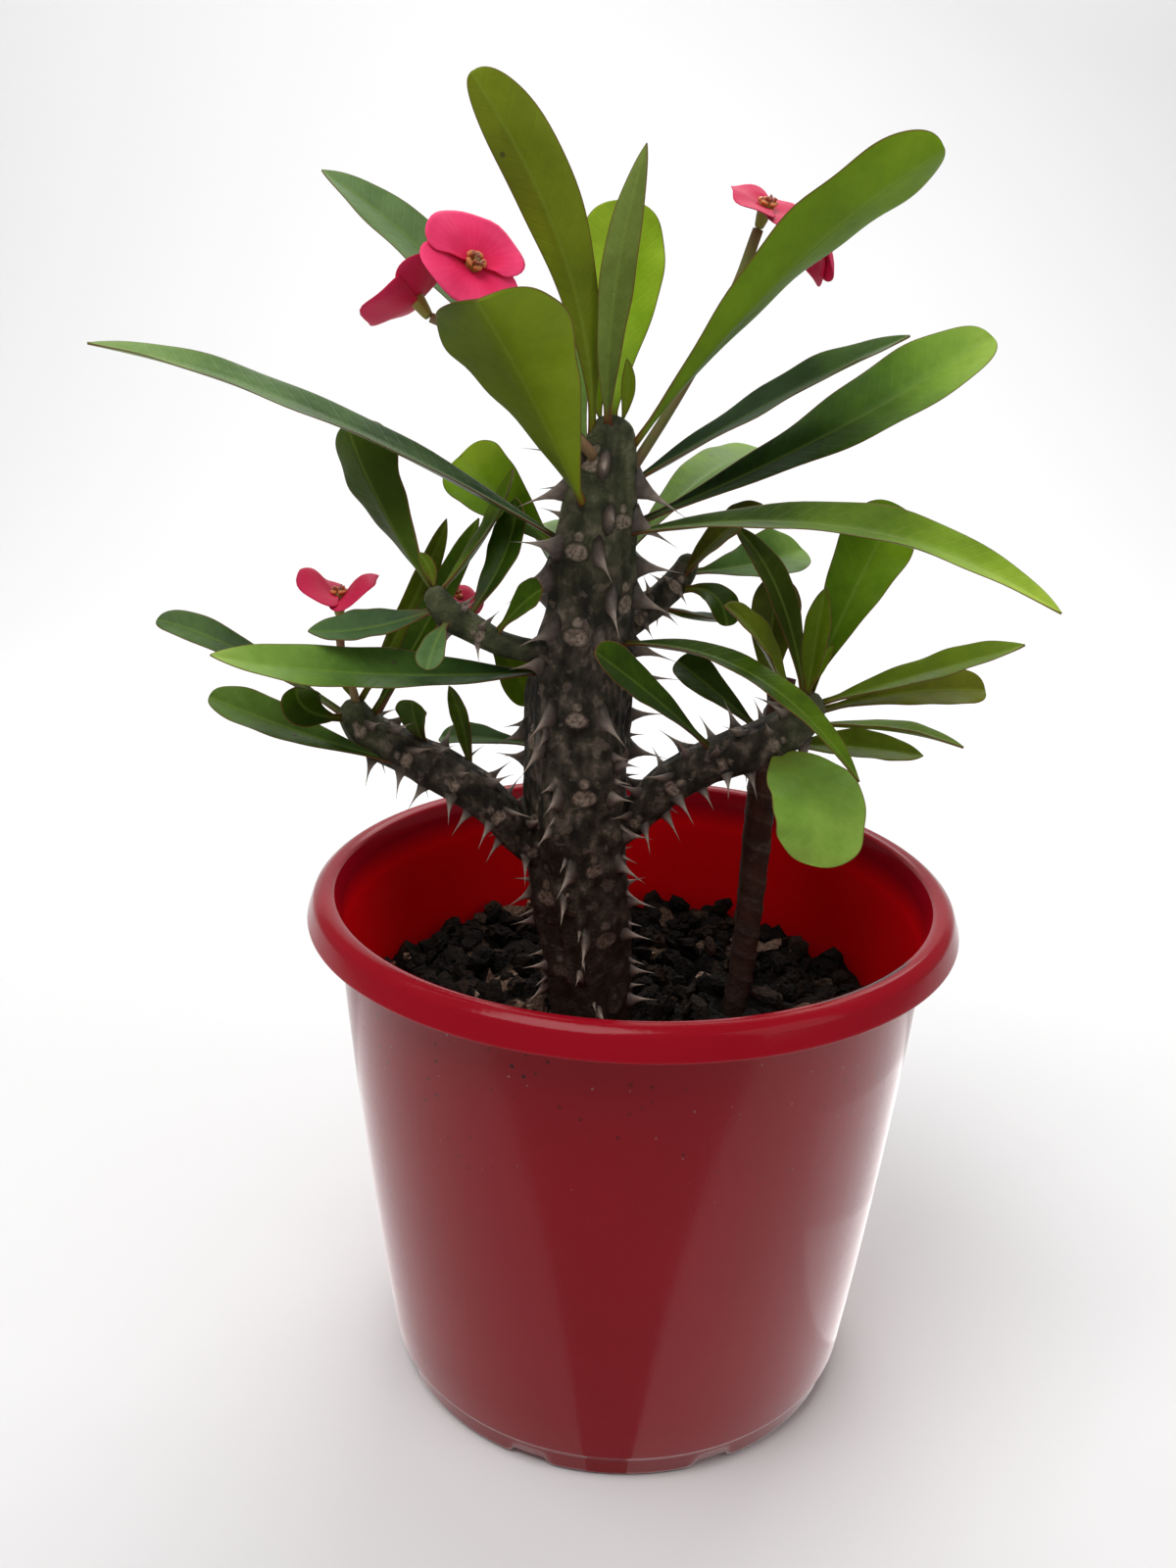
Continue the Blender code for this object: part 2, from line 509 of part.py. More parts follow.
def make_soil(collection, cutters, material, stems):
    """The soil that fills the pot, with bark chips bedded in its top and a plain hole for each stem."""
    clear = POT_WALL + GAP
    rings = [(r, SOIL_LEVEL) for r in (0, 22, 44, 65)]
    edge = wall_radius(SOIL_LEVEL) - clear - 0.2
    profile = rings + [(edge, SOIL_LEVEL)]
    profile += [(wall_radius(z) - clear - 0.2, z) for z in (80, 45, FOOT_HEIGHT + 4)]
    bed = POT_WALL + GAP
    profile += [(FOOT_RADIUS - 5.6, CHANNEL_HEIGHT + bed), (PAD_RADIUS + 0.6, CHANNEL_HEIGHT + bed)]
    profile += [(PAD_RADIUS - 1.4, bed), (0, bed)]
    soil = turned("soil", profile, collection, material)
    applied(soil)
    for vert in soil.data.vertices:
        x, y, z = vert.co / MM
        if z > SOIL_LEVEL - 1:
            vert.co.z = soil_height(x, y) * MM
            if math.hypot(x, y) > edge - 1:
                shrink = (wall_radius(vert.co.z / MM) - clear - 0.2) / edge
                vert.co.xy *= min(1.0, shrink)
    ground = tree_of([soil])
    chips = new_collection("chips")
    draw = np.random.default_rng(7)
    angle = 0.0
    for k in range(CHIP_COUNT):
        angle += 2.399963  # the golden angle spreads the chips evenly
        reach = 76 * math.sqrt((k + 0.6) / CHIP_COUNT)
        x, y = reach * math.cos(angle), reach * math.sin(angle)
        if any(math.hypot(x - s[0], y - s[1]) < s[2] + 7 for s in stems):
            continue
        bm = bmesh.new()
        bmesh.ops.create_icosphere(bm, subdivisions=1, radius=1.0)
        for vert in bm.verts:
            vert.co *= draw.uniform(0.75, 1.15)
        long, wide, tall = draw.uniform(3.5, 8.5), draw.uniform(2.6, 4.6), draw.uniform(2.6, 4.4)
        long = min(long, (edge - 1 - reach) / 1.2)
        wide = min(wide, long)
        turn = Matrix.Rotation(draw.uniform(0, 3.1), 4, "Z")
        turn @= Matrix.Rotation(draw.uniform(-0.4, 0.4), 4, "X")
        size = Matrix.Diagonal((long * MM, wide * MM, tall * MM, 1))
        top = ground.ray_cast(Vector((x, y, 200)), -UP)[0].z
        place = Matrix.Translation((x * MM, y * MM, (top - 0.2 * tall) * MM))
        bmesh.ops.transform(bm, matrix=place @ turn @ size, verts=bm.verts)
        add_object(f"chip_{k}", mesh_from_bmesh("chip", bm), chips)
    join_by_union(soil, chips)
    holes = []
    for name, points, sides in (("trunk_hole", STEM_PATHS["trunk"], 20), ("young_hole", YOUNG_PATH, 10)):
        stem = Stem(points[:3], sides)
        stem.line[0, 2] -= GAP
        stem.line[-1, 2] += 2
        holes.append(add_object(name, tube_mesh(name, stem, 10.0, lift=0.5), cutters))
    cut_away(soil, holes, "MANIFOLD")
    applied(soil)
    return soil


def make_main_stem(stems, foliage, collection, material):
    """The thick ribbed trunk with its four branches and all their thorns, grown as one piece."""
    trunk = add_object("main_stem", tube_mesh("main_stem", stems["trunk"], 7.0), collection, material)
    grown = new_collection("grown")
    for name in ("low_left", "up_left", "right", "back"):
        add_object(name, tube_mesh(name, stems[name], 7.0), grown)
    thorns = thorns_of(stems["trunk"], STEM_DEPTH + 8, SPINE_STEP, SPINE_LENGTH)
    for name, start in (("low_left", 16), ("right", 16), ("up_left", 30), ("back", 14)):
        thorns += thorns_of(stems[name], start, BRANCH_SPINE_STEP, BRANCH_SPINE_LENGTH)
    leaves = tree_of(foliage)
    for k, row in enumerate(thorns):
        if leaves.overlap(BVHTree.FromBMesh(spine_mesh("room", *row[:3], row[3] + 0.6, row[4] + 0.9))):
            continue
        thorn = spine_mesh("thorn", *row)
        bmesh.ops.scale(thorn, vec=(MM, MM, MM), verts=thorn.verts)
        add_object(f"thorn_{k}", mesh_from_bmesh("thorn", thorn), grown)
    join_by_union(trunk, grown)
    return trunk


def round_tube(name, points, radius):
    """A round stalk as a bevelled curve with filled caps, made a mesh with its caps welded."""
    line = smooth_path(points, 3)
    data = bpy.data.curves.new(name, "CURVE")
    data.dimensions = "3D"
    data.bevel_depth = radius * MM
    data.bevel_resolution = 1
    data.use_fill_caps = True
    spline = data.splines.new("POLY")
    spline.points.add(len(line) - 1)
    for point, place in zip(spline.points, line):
        point.co = (*(place * MM), 1)
    helper = bpy.data.objects.new(name, data)
    bpy.context.scene.collection.objects.link(helper)
    mesh = bpy.data.meshes.new_from_object(helper.evaluated_get(bpy.context.evaluated_depsgraph_get()))
    bpy.data.objects.remove(helper, do_unlink=True)
    bm = bmesh.new()
    bm.from_mesh(mesh)
    bmesh.ops.remove_doubles(bm, verts=bm.verts, dist=0.00001)
    bmesh.ops.recalc_face_normals(bm, faces=bm.faces)
    return mesh_from_bmesh(name, bm)


def make_stalk(name, arms, radius, collection, material):
    stalk = add_object(name, round_tube(name, arms[0], radius), collection, material)
    if len(arms) > 1:
        grown = new_collection("arms")
        for arm in arms[1:]:
            add_object("arm", round_tube("arm", arm, radius * 0.9), grown)
        join_by_union(stalk, grown)
    return stalk


def bract_mesh(name, radius, lean, side):
    """One kidney-shaped bract: a fan-shaped grid round the cup, its lobes rounded, curling as it leans."""
    bm = bmesh.new()
    bmesh.ops.create_grid(bm, x_segments=6, y_segments=2, size=1.0)
    for vert in bm.verts:
        turn = vert.co.x * math.radians(94)
        out = (vert.co.y + 1) / 2
        lobe = 1 - 0.10 * math.exp(-((turn / 0.35) ** 2)) - 0.22 * abs(vert.co.x) ** 5
        reach = 1.0 + (radius * lobe - 1.0) * out
        height = CUP_HEIGHT - 1.6 + side * 0.5 + radius * out * out * lean
        vert.co = (reach * math.sin(turn) * 1.08, side * reach * math.cos(turn), height)
    bmesh.ops.triangulate(bm, faces=bm.faces)
    bmesh.ops.recalc_face_normals(bm, faces=bm.faces)
    return mesh_from_bmesh(name, bm)


def make_bloom(name, row, collection, material):
    """A bloom: two broad bracts spread from below the mouth of a small cup."""
    foot, faces, radius, turn, lean = row
    bm = bmesh.new()
    bmesh.ops.create_cone(bm, cap_ends=True, segments=8, radius1=1.3, radius2=CUP_RADIUS, depth=CUP_HEIGHT)
    bmesh.ops.translate(bm, verts=bm.verts, vec=(0, 0, CUP_HEIGHT / 2))
    bloom = add_object(name, mesh_from_bmesh(name, bm), collection, material)
    grown = new_collection("petals")
    for side in (-1, 1):
        bract = add_object("bract", bract_mesh("bract", radius, lean, side), grown)
        wall = bract.modifiers.new("thickness", "SOLIDIFY")
        wall.thickness = 0.8
        wall.offset = 0
        applied(bract)
    join_by_union(bloom, grown)
    upright = Vector(faces).normalized()
    spin = Matrix.Rotation(math.radians(turn), 4, "Z")
    stand = upright.to_track_quat("Z", "Y").to_matrix().to_4x4() @ spin
    place = Matrix.Translation(Vector(foot) + upright * (GAP + 0.8)) @ stand
    bloom.data.transform(Matrix.Scale(MM, 4) @ place)
    return bloom


def main():
    clear_scene()
    plant = new_collection("crown_of_thorns")
    cutters = new_collection("cutters")
    red = new_material("plastic_red", PLASTIC_RED, 0.35)
    black = new_material("soil", SOIL_BLACK, 0.95)
    bark = new_material("bark", BARK_GREY, 0.8)
    green = new_material("leaf", LEAF_GREEN, 0.4)
    stems = {name: Stem(path, 10) for name, path in STEM_PATHS.items() if name != "trunk"}
    stems["trunk"] = Stem(STEM_PATHS["trunk"], 20, TRUNK_RIBS, TRUNK_TWIST)
    stems["young"] = Stem(YOUNG_PATH, 10)
    make_pot(plant, cutters, red)
    make_soil(plant, cutters, black, [(-12, 0, 13), (35, 6, 4)])
    foliage = []
    for seed, (name, row) in enumerate(LEAVES.items()):
        foliage.append(leaf_object(name, row, stems[row[0]], plant, green, seed))
    stalk_green = new_material("stalk", STALK_GREEN, 0.5)
    for name, (arms, radius) in STALKS.items():
        foliage.append(make_stalk(name, arms, radius, plant, stalk_green))
    pink = new_material("bract", BRACT_PINK, 0.5)
    for name, row in BLOOMS.items():
        foliage.append(make_bloom(name, row, plant, pink))
    make_main_stem(stems, foliage, plant, bark)
    young_bark = new_material("young_bark", YOUNG_BARK, 0.7)
    add_object("young_stem", tube_mesh("young_stem", stems["young"], 8.0), plant, young_bark)


main()
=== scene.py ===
"""Crown of thorns plant in a red plastic pot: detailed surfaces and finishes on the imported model.

Tables and shapes are in millimetres and become metres where a mesh is made. Lights and the camera's
place are in metres.
"""

import itertools
import math

import bpy
import numpy as np
from mathutils import Matrix, Vector


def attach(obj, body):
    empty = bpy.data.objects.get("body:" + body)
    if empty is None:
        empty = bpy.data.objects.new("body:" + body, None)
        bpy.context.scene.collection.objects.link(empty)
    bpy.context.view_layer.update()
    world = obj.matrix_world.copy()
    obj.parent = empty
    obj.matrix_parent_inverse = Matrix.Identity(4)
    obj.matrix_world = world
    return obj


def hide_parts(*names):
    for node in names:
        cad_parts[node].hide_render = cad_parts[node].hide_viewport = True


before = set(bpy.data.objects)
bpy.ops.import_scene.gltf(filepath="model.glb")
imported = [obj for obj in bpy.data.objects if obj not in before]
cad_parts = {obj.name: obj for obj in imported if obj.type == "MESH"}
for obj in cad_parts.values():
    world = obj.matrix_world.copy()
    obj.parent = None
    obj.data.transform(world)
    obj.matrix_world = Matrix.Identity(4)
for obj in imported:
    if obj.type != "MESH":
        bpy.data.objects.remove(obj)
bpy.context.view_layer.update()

MM = 0.001
UP = np.array([0.0, 0.0, 1.0])
NEAR = np.array([0.0, -1.0, 0.0])
FULL_TURN = 2 * math.pi

# Pot and soil, as in the solids
POT_HEIGHT, LIP_RADIUS, MOUTH_RADIUS, LIP_DROP = 165.0, 100.0, 92.0, 8.5
WALL_TOP_RADIUS, WALL_FOOT_RADIUS, WALL_BULGE, POT_WALL = 91.0, 75.6, 1.3, 1.8
FOOT_HEIGHT, FOOT_RADIUS, FOOT_RING, PAD_RADIUS, CHANNEL_HEIGHT = 9.0, 73.8, 3.0, 54.0, 5.0
DRAIN_COUNT, DRAIN_WIDTH, DRAIN_HEIGHT = 8, 12.0, 3.2
GROOVE_SHADE_AT, GROOVE_SHADE_SPREAD = 311, 3.4  # degrees round the rim, of a dark groove in its inside edge: painted shade of a recess
SOIL_LEVEL, SOIL_LUMP = 117.0, 3.0

# Stems: (x, y, z, radius) along each axis
STEM_PATHS = {
    "trunk": [
        (-12, 0, 104, 12.5), (-12, 0, 117, 12.6), (-13, 0, 132, 13.0), (-16, 0, 163, 14.5),
        (-18, 0, 195, 15.4), (-18, 0, 226, 14.6), (-16, 0, 250, 13.0), (-15, 0, 267, 12.0),
        (-13, 0, 284, 9.4), (-11, 0, 297, 7.0), (-11, 0, 305, 4.6),
    ],
    "low_left": [
        (-20, 0, 168, 5.0), (-32, -2, 176, 5.4), (-44, -4, 190, 6.2), (-59, -4, 200, 6.6),
        (-71, -4, 206, 6.4), (-81, -4, 212, 5.8), (-87, -4, 221, 4.0),
    ],
    "up_left": [
        (-20, -3, 235, 3.4), (-30, -8, 238, 3.4), (-41, -10, 241, 3.6), (-50, -11, 246, 4.2),
        (-56, -12, 250, 4.2), (-61, -12, 257, 3.0),
    ],
    "right": [
        (-10, 0, 177, 5.0), (-2, -2, 184, 5.4), (9, -4, 197, 6.0), (20, -4, 204, 6.6),
        (35, -3, 210, 6.8), (46, -2, 216, 6.2), (53, -2, 226, 4.2),
    ],
    "back": [
        (-12, 3, 238, 3.6), (-3, 8, 244, 4.0), (6, 14, 251, 4.2), (12, 17, 257, 4.0), (15, 19, 263, 2.8),
    ],
    "young": [
        (35, 6, 104, 3.9), (35, 6, 117, 3.9), (37, 8, 132, 4.1), (39, 12, 159, 4.5),
        (41, 18, 191, 4.8), (44, 22, 209, 4.4), (47, 25, 224, 3.2),
    ],
}
TRUNK_BURIED = 27.0  # how much deeper the solid trunk starts than the path here
TRUNK_RIBS, BRANCH_RIBS, RIB_HEIGHT = 5, 4, 0.07
TRUNK_TWIST, VALLEY_FACES_FRONT_AT = -0.45, 215.0  # degrees for each millimetre of height, and height
TRUNK_GRID, BRANCH_GRID, YOUNG_GRID = (360, 144), (110, 56), (170, 40)  # rows and columns
YOUNG_RING_STEP = 8.5

# name: (first leaf scar, step, scar size), grid, share where it turns green,
#       width of its thorns, thorns (length, share of the way to the next valley, small companions, seed)
# A companion is (share of the length, shift along the stem, shift round it).
MAIN_STEMS = {
    "trunk": ((20.0, 24.0, 3.5), TRUNK_GRID, 0.70, 2.1, (14.0, 0.40, ((0.55, 3.6, 0.10),), 4)),
    "low_left": ((14.0, 16.0, 2.3), BRANCH_GRID, 0.72, 1.35, (10.0, 0.36, (), 20)),
    "right": ((14.0, 16.0, 2.3), BRANCH_GRID, 0.72, 1.35, (10.0, 0.36, (), 21)),
    "up_left": ((30.0, 16.0, 2.3), BRANCH_GRID, 0.20, 1.35, (7.0, 0.36, (), 22)),
    "back": ((13.0, 16.0, 2.3), BRANCH_GRID, 0.72, 1.35, (7.0, 0.36, (), 23)),
}
HIGH_THORNS = 215.0  # above this the trunk's thorns have no small companions
TRUNK_THORNS_GROW = ((120, 190, 250), (0.62, 0.78, 1.14))  # heights, and shares of their length there
THORN_SUNK, THORN_CLEARANCE = 1.6, 1.0  # how deep a thorn starts, and its least gap from a leaf

SPOON, LANCE = (1.35, 0.42), (1.05, 0.80)
FRONT, TILTED, FLAT = (0, -1, 0.3), (0, -0.6, 1), (0, 0, 1)

# stem, then name: (share along it, tip, width, arch, way the upper face looks, outline,
#                   (tone at the foot, tone at the tip, how much lighter the right half is as painted light,
#                   how olive))
# The four values of the last bracket are in hundredths. The foot and tip tones are partly the leaf's own
# green and partly painted light and shade; the right half's value is painted light and shadow across the
# halves.
LEAVES = [
    ("trunk", {
        "crown_tall": (0.965, (-49, -14, 389), 18, (13, 0, 0), (-0.2, 1, 0.4), SPOON, (50, 58, 2, 85)),
        "crown_folded": (0.985, (-4, -9, 374), 11, (-2.5, 0, 0), (-0.5, -1, 0.1), LANCE, (46, 60, -10, 100)),
        "crown_bright": (0.98, (-9, 22, 362), 25, (0, 3, 0), FRONT, SPOON, (80, 92, -10, 0)),
        "crown_big_right": (0.96, (71, -18, 374), 24, (-5.5, 0, 9), (-0.7, 0.9, 0.5), SPOON, (46, 66, 14, 5)),
        "crown_back_left": (0.95, (-95, 30, 368), 18, (3, 0, 8), TILTED, LANCE, (40, 62, 0, 0)),
        "crown_front": (0.885, (-44, -60, 335), 33, (1, 0, 5), (0.1, 0.8, 0.7), SPOON, (54, 48, -34, 60)),
        "long_left": (0.84, (-151, -15, 321), 17, (0, 0, 9), (0, -0.25, 1), LANCE, (22, 78, 0, 10)),
        "right_broad": (0.865, (99, 22, 328), 23, (0, 0, 0), (-0.3, -0.8, 0.8), SPOON, (2, 84, 6, 0)),
        "right_narrow": (0.92, (71, 2, 328), 17, (0, 0, 5), (-0.3, -0.3, 1), LANCE, (10, 46, 0, 0)),
        "right_arching": (0.86, (109, -40, 260), 19, (0, 0, 13), (0.1, -0.4, 1), LANCE, (16, 98, 10, 25)),
        "behind_left": (0.82, (-56, 30, 289), 21, (0, 0, 1), FRONT, SPOON, (34, 85, 14, 0)),
        "low_long": (0.672, (-118, -36, 242), 17, (0, -2, -2), TILTED, LANCE, (12, 90, 0, 0)),
        "low_arching": (0.72, (60, -38, 211), 12, (0, 0, 12), (0.2, -0.3, 1), LANCE, (18, 40, 0, 20)),
    }),
    ("back", {
        "side_right": (0.55, (31, 26, 242), 9, (0, 0, 0), FLAT, LANCE, (20, 35, 0, 20)),
    }),
    ("trunk", {
        "hip_left": (0.56, (-62, 27, 201), 10, (0, 0, 1), TILTED, SPOON, (32, 48, 0, 10)),
        "rear_high": (0.90, (-36, 84, 328), 24, (0, 0, 5), (0, -0.5, 1), SPOON, (40, 60, 0, 10)),
        "rear_right": (0.80, (44, 88, 287), 21, (0, 0, 9), FLAT, SPOON, (35, 62, 0, 10)),
        "rear_low": (0.75, (-34, 84, 260), 19, (0, 0, 8), FLAT, LANCE, (30, 60, 0, 10)),
    }),
    ("up_left", {
        "upper_paddle": (0.98, (-86, 8, 300), 22, (-3, 1, 0), (0.4, 0.9, 0.3), SPOON, (20, 12, 6, 10)),
        "upper_folded": (0.95, (-39, 11, 288), 10, (2, 3, 0), (-1, -0.5, 0.4), LANCE, (34, 46, 0, 20)),
        "upper_dark": (0.70, (-38, 8, 280), 12, (3, 0, 0), (-0.6, -0.8, 0.3), LANCE, (12, 28, 0, 10)),
        "upper_near": (0.52, (-29, -20, 259), 10, (0, 0, 1), (-0.6, -0.8, 0.6), SPOON, (26, 26, 0, 10)),
        "upper_side": (0.88, (-94, -22, 246), 12, (0, 0, -1), TILTED, LANCE, (24, 42, 0, 0)),
        "upper_small": (0.80, (-60, -31, 238), 8, (0, 0, 2), TILTED, SPOON, (42, 46, 0, 0)),
        "upper_hanging": (0.56, (-33, 14, 216), 11, (0, 4, 4), FRONT, SPOON, (42, 52, 0, 20)),
    }),
    ("low_left", {
        "lower_rising": (0.95, (-145, 9, 241), 11, (0, 0, 6), TILTED, SPOON, (22, 44, 0, 20)),
        "lower_long": (0.74, (-124, -17, 225), 14, (0, 1, 1), TILTED, SPOON, (22, 46, 0, 20)),
        "lower_short": (0.955, (-97, -27, 231), 12, (-2, -2, -1), (0.4, -1, 0.2), SPOON, (14, 28, 0, 10)),
        "lower_rod": (0.97, (-59, 18, 272), 8, (0, 0, 0), (0.3, -1, -0.2), LANCE, (30, 42, 0, 60)),
        "lower_blade": (0.90, (-49, 14, 273), 10, (0, 0, 0), (-0.6, -1, 0.4), LANCE, (16, 40, 0, 10)),
        "lower_bract": (0.66, (-67, -6, 222), 10, (-2, 0, 0), (-0.4, -1, 0), SPOON, (24, 30, 0, 40)),
    }),
    ("back", {
        "back_brown": (0.80, (34, 8, 280), 12, (0, 0, 3), (-0.5, -0.6, 1), LANCE, (14, 30, 0, 100)),
        "back_pale": (0.88, (52, 46, 261), 19, (0, 0, 0), (-0.2, -0.8, 0.7), SPOON, (30, 66, 0, 0)),
        "back_hanging": (0.72, (25, 2, 245), 10, (2, 0, 5), (0.4, -1, 0.5), SPOON, (16, 26, 0, 20)),
    }),
    ("right", {
        "right_curled": (0.96, (27, 17, 272), 10, (5, 0, 4), (0.4, -0.8, 0.5), LANCE, (22, 22, 0, 50)),
        "right_olive": (0.90, (22, -17, 255), 13, (2, 0, 4), (0.5, -0.5, 0.9), LANCE, (42, 34, 0, 80)),
        "right_upright": (0.985, (75, 14, 280), 22, (1, 0, 0), (-0.5, -1, 0.1), SPOON, (36, 62, 16, 10)),
        "right_slip": (0.975, (51, -12, 260), 8, (1, 0, 0), (-0.5, -1, 0), LANCE, (40, 44, 0, 40)),
        "right_level": (0.985, (109, -13, 245), 12, (0, 0, 3), (0, -0.4, 1), LANCE, (44, 58, 0, 40)),
        "right_grey": (0.94, (106, 11, 225), 14, (0, 0, 4), (0, -0.7, 0.8), SPOON, (34, 44, 0, 100)),
        "right_low": (0.90, (92, -23, 217), 9, (0, 0, 4), FLAT, LANCE, (36, 44, 0, 30)),
        "right_under": (0.80, (88, 6, 205), 12, (0, 0, 3), TILTED, LANCE, (34, 50, 0, 60)),
        "right_spoon": (0.76, (49, -33, 184), 29, (4, -5, 4), (0.3, -1, 0.5), (0.62, 0.45), (66, 74, 0, 0)),
        "right_inner": (0.54, (-14, -34, 245), 13, (0, 0, 0), (0.7, -0.8, 0.8), SPOON, (10, 22, 10, 10)),
    }),
    ("young", {
        "young_grey": (0.87, (13, 34, 226), 13, (0, 0, 2), (0.2, -0.8, 0.8), SPOON, (10, 22, 0, 30)),
        "young_round": (0.93, (45, 38, 253), 16, (0, 0, 0), (0.1, -1, 0.2), SPOON, (24, 26, 0, 80)),
    }),
]
WIDE_LEAF, LEAF_GRID, FINE_LEAF_GRID = 9, (26, 11), (44, 17)  # the fine grid is for wider leaves
LEAF_SUNK, LEAF_FOOT_ROWS = 2.2, 6  # how deep in its stem a leaf starts; rows near it that thorns may touch
FOOT_TURN = {"crown_folded": -60, "lower_short": -35}  # degrees round the stem, away from facing the tip
COOL = {  # how far a leaf's green leans to blue-grey
    "crown_back_left": 0.9, "crown_folded": 0.5, "long_left": 0.8, "right_narrow": 0.5, "right_broad": 0.25,
    "upper_side": 0.9, "upper_small": 0.9, "hip_left": 0.9, "lower_rising": 0.7, "lower_long": 0.4,
    "right_spoon": 0.35, "back_pale": 0.5, "low_long": 0.4, "right_arching": 0.1, "rear_high": 0.3,
    "rear_low": 0.3, "lower_bract": 0.3,
}
UNEQUAL = {"crown_tall": (1.12, 0.72), "crown_folded": (0.8, 1.1)}  # widths of the left and right halves

# Leaves too small for solids of their own, fused into one piece
SMALL_LEAVES = [
    ("low_left", {
        "slip": (0.50, (-58, 12, 222), 6, (0, 0, 0), (-0.5, -1, 0.3), LANCE, (28, 34, 0, 40)),
    }),
    ("trunk", {
        "bud_a": (0.99, (-16, 4, 324), 5, (0, 0, 0), FRONT, LANCE, (60, 70, 0, 20)),
        "bud_b": (0.99, (-7, 3, 320), 4, (0, 0, 0), FRONT, LANCE, (60, 66, 0, 60)),
    }),
    ("right", {
        "bud_c": (0.99, (57, 2, 240), 4, (0, 0, 0), FRONT, LANCE, (52, 56, 0, 30)),
    }),
    ("low_left", {
        "bud_d": (0.99, (-90, -6, 233), 4, (0, 0, 0), FRONT, LANCE, (36, 40, 0, 30)),
    }),
    ("up_left", {
        "bud_e": (0.99, (-64, -12, 267), 4, (0, 0, 0), FRONT, LANCE, (36, 40, 0, 30)),
    }),
]

# name: (points of each arm, radius)
STALKS = {
    "stalk_high_left": ([
        [(-15, -5, 293), (-18.4, -6.8, 297), (-34, -9, 312), (-48, -12, 327), (-51, -17, 340)],
        [(-46, -11.6, 325), (-51, -12.2, 326.6), (-60, -13, 329.8)],
    ], 1.5),
    "stalk_high_right": ([
        [(-7, 2, 287), (-3, 4.4, 292), (10, 10, 313), (23, 16, 338), (29, 18, 355)],
        [(21, 15, 334), (27, 17.5, 341), (42, 22, 350)],
    ], 1.5),
    "stalk_low_left": ([[(-84, -5, 221), (-84.6, -5.8, 225), (-88, -3, 235), (-89, 1, 245)]], 1.2),
    "stalk_inner_left": ([[(-80, 0, 213), (-78.8, 3, 215.4), (-70, 14, 230), (-60, 24, 241)]], 1.2),
}
# name: (foot, way it faces, radius, turn about that way in degrees, how far the bracts rise, how much painted
# shade darkens the red)
BLOOMS = {
    "bloom_high_left_front": ((-51, -17, 340), (0.50, -0.70, 0.55), 14.5, -24, 0.10, 0.0),
    "bloom_high_left_side": ((-60, -13, 329.5), (-0.60, 0.22, 0.76), 15.5, 20, 0.28, 0.25),
    "bloom_high_right_front": ((29, 18, 355), (0.25, -0.35, 0.9), 11.5, 60, 0.1, 0.6),
    "bloom_high_right_side": ((42, 22, 350), (0.80, 0.20, 0.35), 11.0, 80, -0.25, 0.5),
    "bloom_low_left": ((-89, 1, 245), (0, -0.05, 1), 12.4, 90, 0.74, 0.8),
    "bloom_inner_left": ((-60, 24, 241), (0.35, -0.1, 1), 9.5, 60, 0.5, 0.8),
}
CUP_HEIGHT, CUP_RADIUS, CUP_LIFT = 7.0, 2.4, 0.6
BRACT_SPAN, BRACT_BELOW_MOUTH, GLAND_COUNT, CUP_TUBES = 99, 1.6, 5, 16  # the span is degrees to each side
FOLDED_BLOOM = 0.3  # where bracts rise more than this, their middles rise most

# name: (count, ranges of length, width and height, seed, (share, colour value) steps, how much they tilt)
SOIL_PIECES = {
    "soil_chips": (240, ((3.0, 9.0), (1.8, 4.6), (1.2, 2.8)), 51,
                   ([0, 0.5, 0.8, 0.93, 1], [0.15, 0.42, 0.70, 0.88, 1.0]), 0.45),
    "soil_lumps": (620, ((1.6, 5.0), (1.5, 4.4), (1.4, 4.0)), 52,
                   ([0, 0.85, 1], [0.0, 0.30, 0.62]), 0.8),
}
SOIL_SPREAD, SOIL_PIECES_REACH = 82, 85.2
STEM_FEET = ((-12, 0, 13), (35, 6, 4.5))  # x, y and radius that the soil's pieces keep clear of
GOLDEN_ANGLE = 2.399963

# Backdrop: (distance back, height) profile, in millimetres
FLOOR_FRONT, FLOOR_BACK, BEND_RADIUS, BACKDROP_TOP = -1050.0, 900.0, 700.0, 4000.0
FLOOR_HALF_WIDTH, FLOOR_DROP = 1500.0, 0.2

# name: (place, target, size, watts), in metres
LIGHTS = {
    "key": ((-0.5, -0.6, 1.75), (0, 0, 0.2), (1.1, 1.0), 19),
    "fill": ((1.1, -0.8, 0.9), (0, 0, 0.15), (0.8, 1.2), 3),
    "wash": ((0, 0.35, 1.5), (0, 1.7, 0.9), (2.4, 0.5), 12),
    "back": ((0.3, 1.0, 1.3), (0, 0, 0.25), (1.2, 0.8), 9),
}
# name: (centre on the floor, size, radiance), in millimetres
PANELS = {
    "panel_left": ((-200, -20), (400, 330), 0.5),
    "panel_right": ((200, -25), (410, 374), 0.8),
    "panel_far_right": ((230, 40), (340, 250), 0.5),
}
SKY_LIGHT, SKY_SEEN = 0.28, 0.67  # the sky's strength, and what is added to it where the camera sees it

# Camera, fitted on the photograph, in metres, radians and pixels
CAMERA_PLACE = (-0.018, -0.414, 0.3381)
CAMERA_PITCH, CAMERA_ROLL, CAMERA_YAW = 0.332, 0.027, 0.008
FOCAL_PIXELS, PHOTO_HEIGHT, SENSOR = 1465.7, 1600, 36  # the sensor's longer side, in millimetres


def unit(v):
    return v / np.maximum(np.linalg.norm(v, axis=-1, keepdims=True), 1e-9)


def bell(x):
    """A bump that is 1 at 0 and has all but gone at 2."""
    return np.exp(-(x**2))


def circle(count):
    """Angles evenly round a full turn."""
    return np.linspace(0, FULL_TURN, count, endpoint=False)


def polar(radius, turn, z):
    """Points at a radius and angle about the z axis, at a height."""
    return np.stack(np.broadcast_arrays(radius * np.cos(turn), radius * np.sin(turn), z), -1)


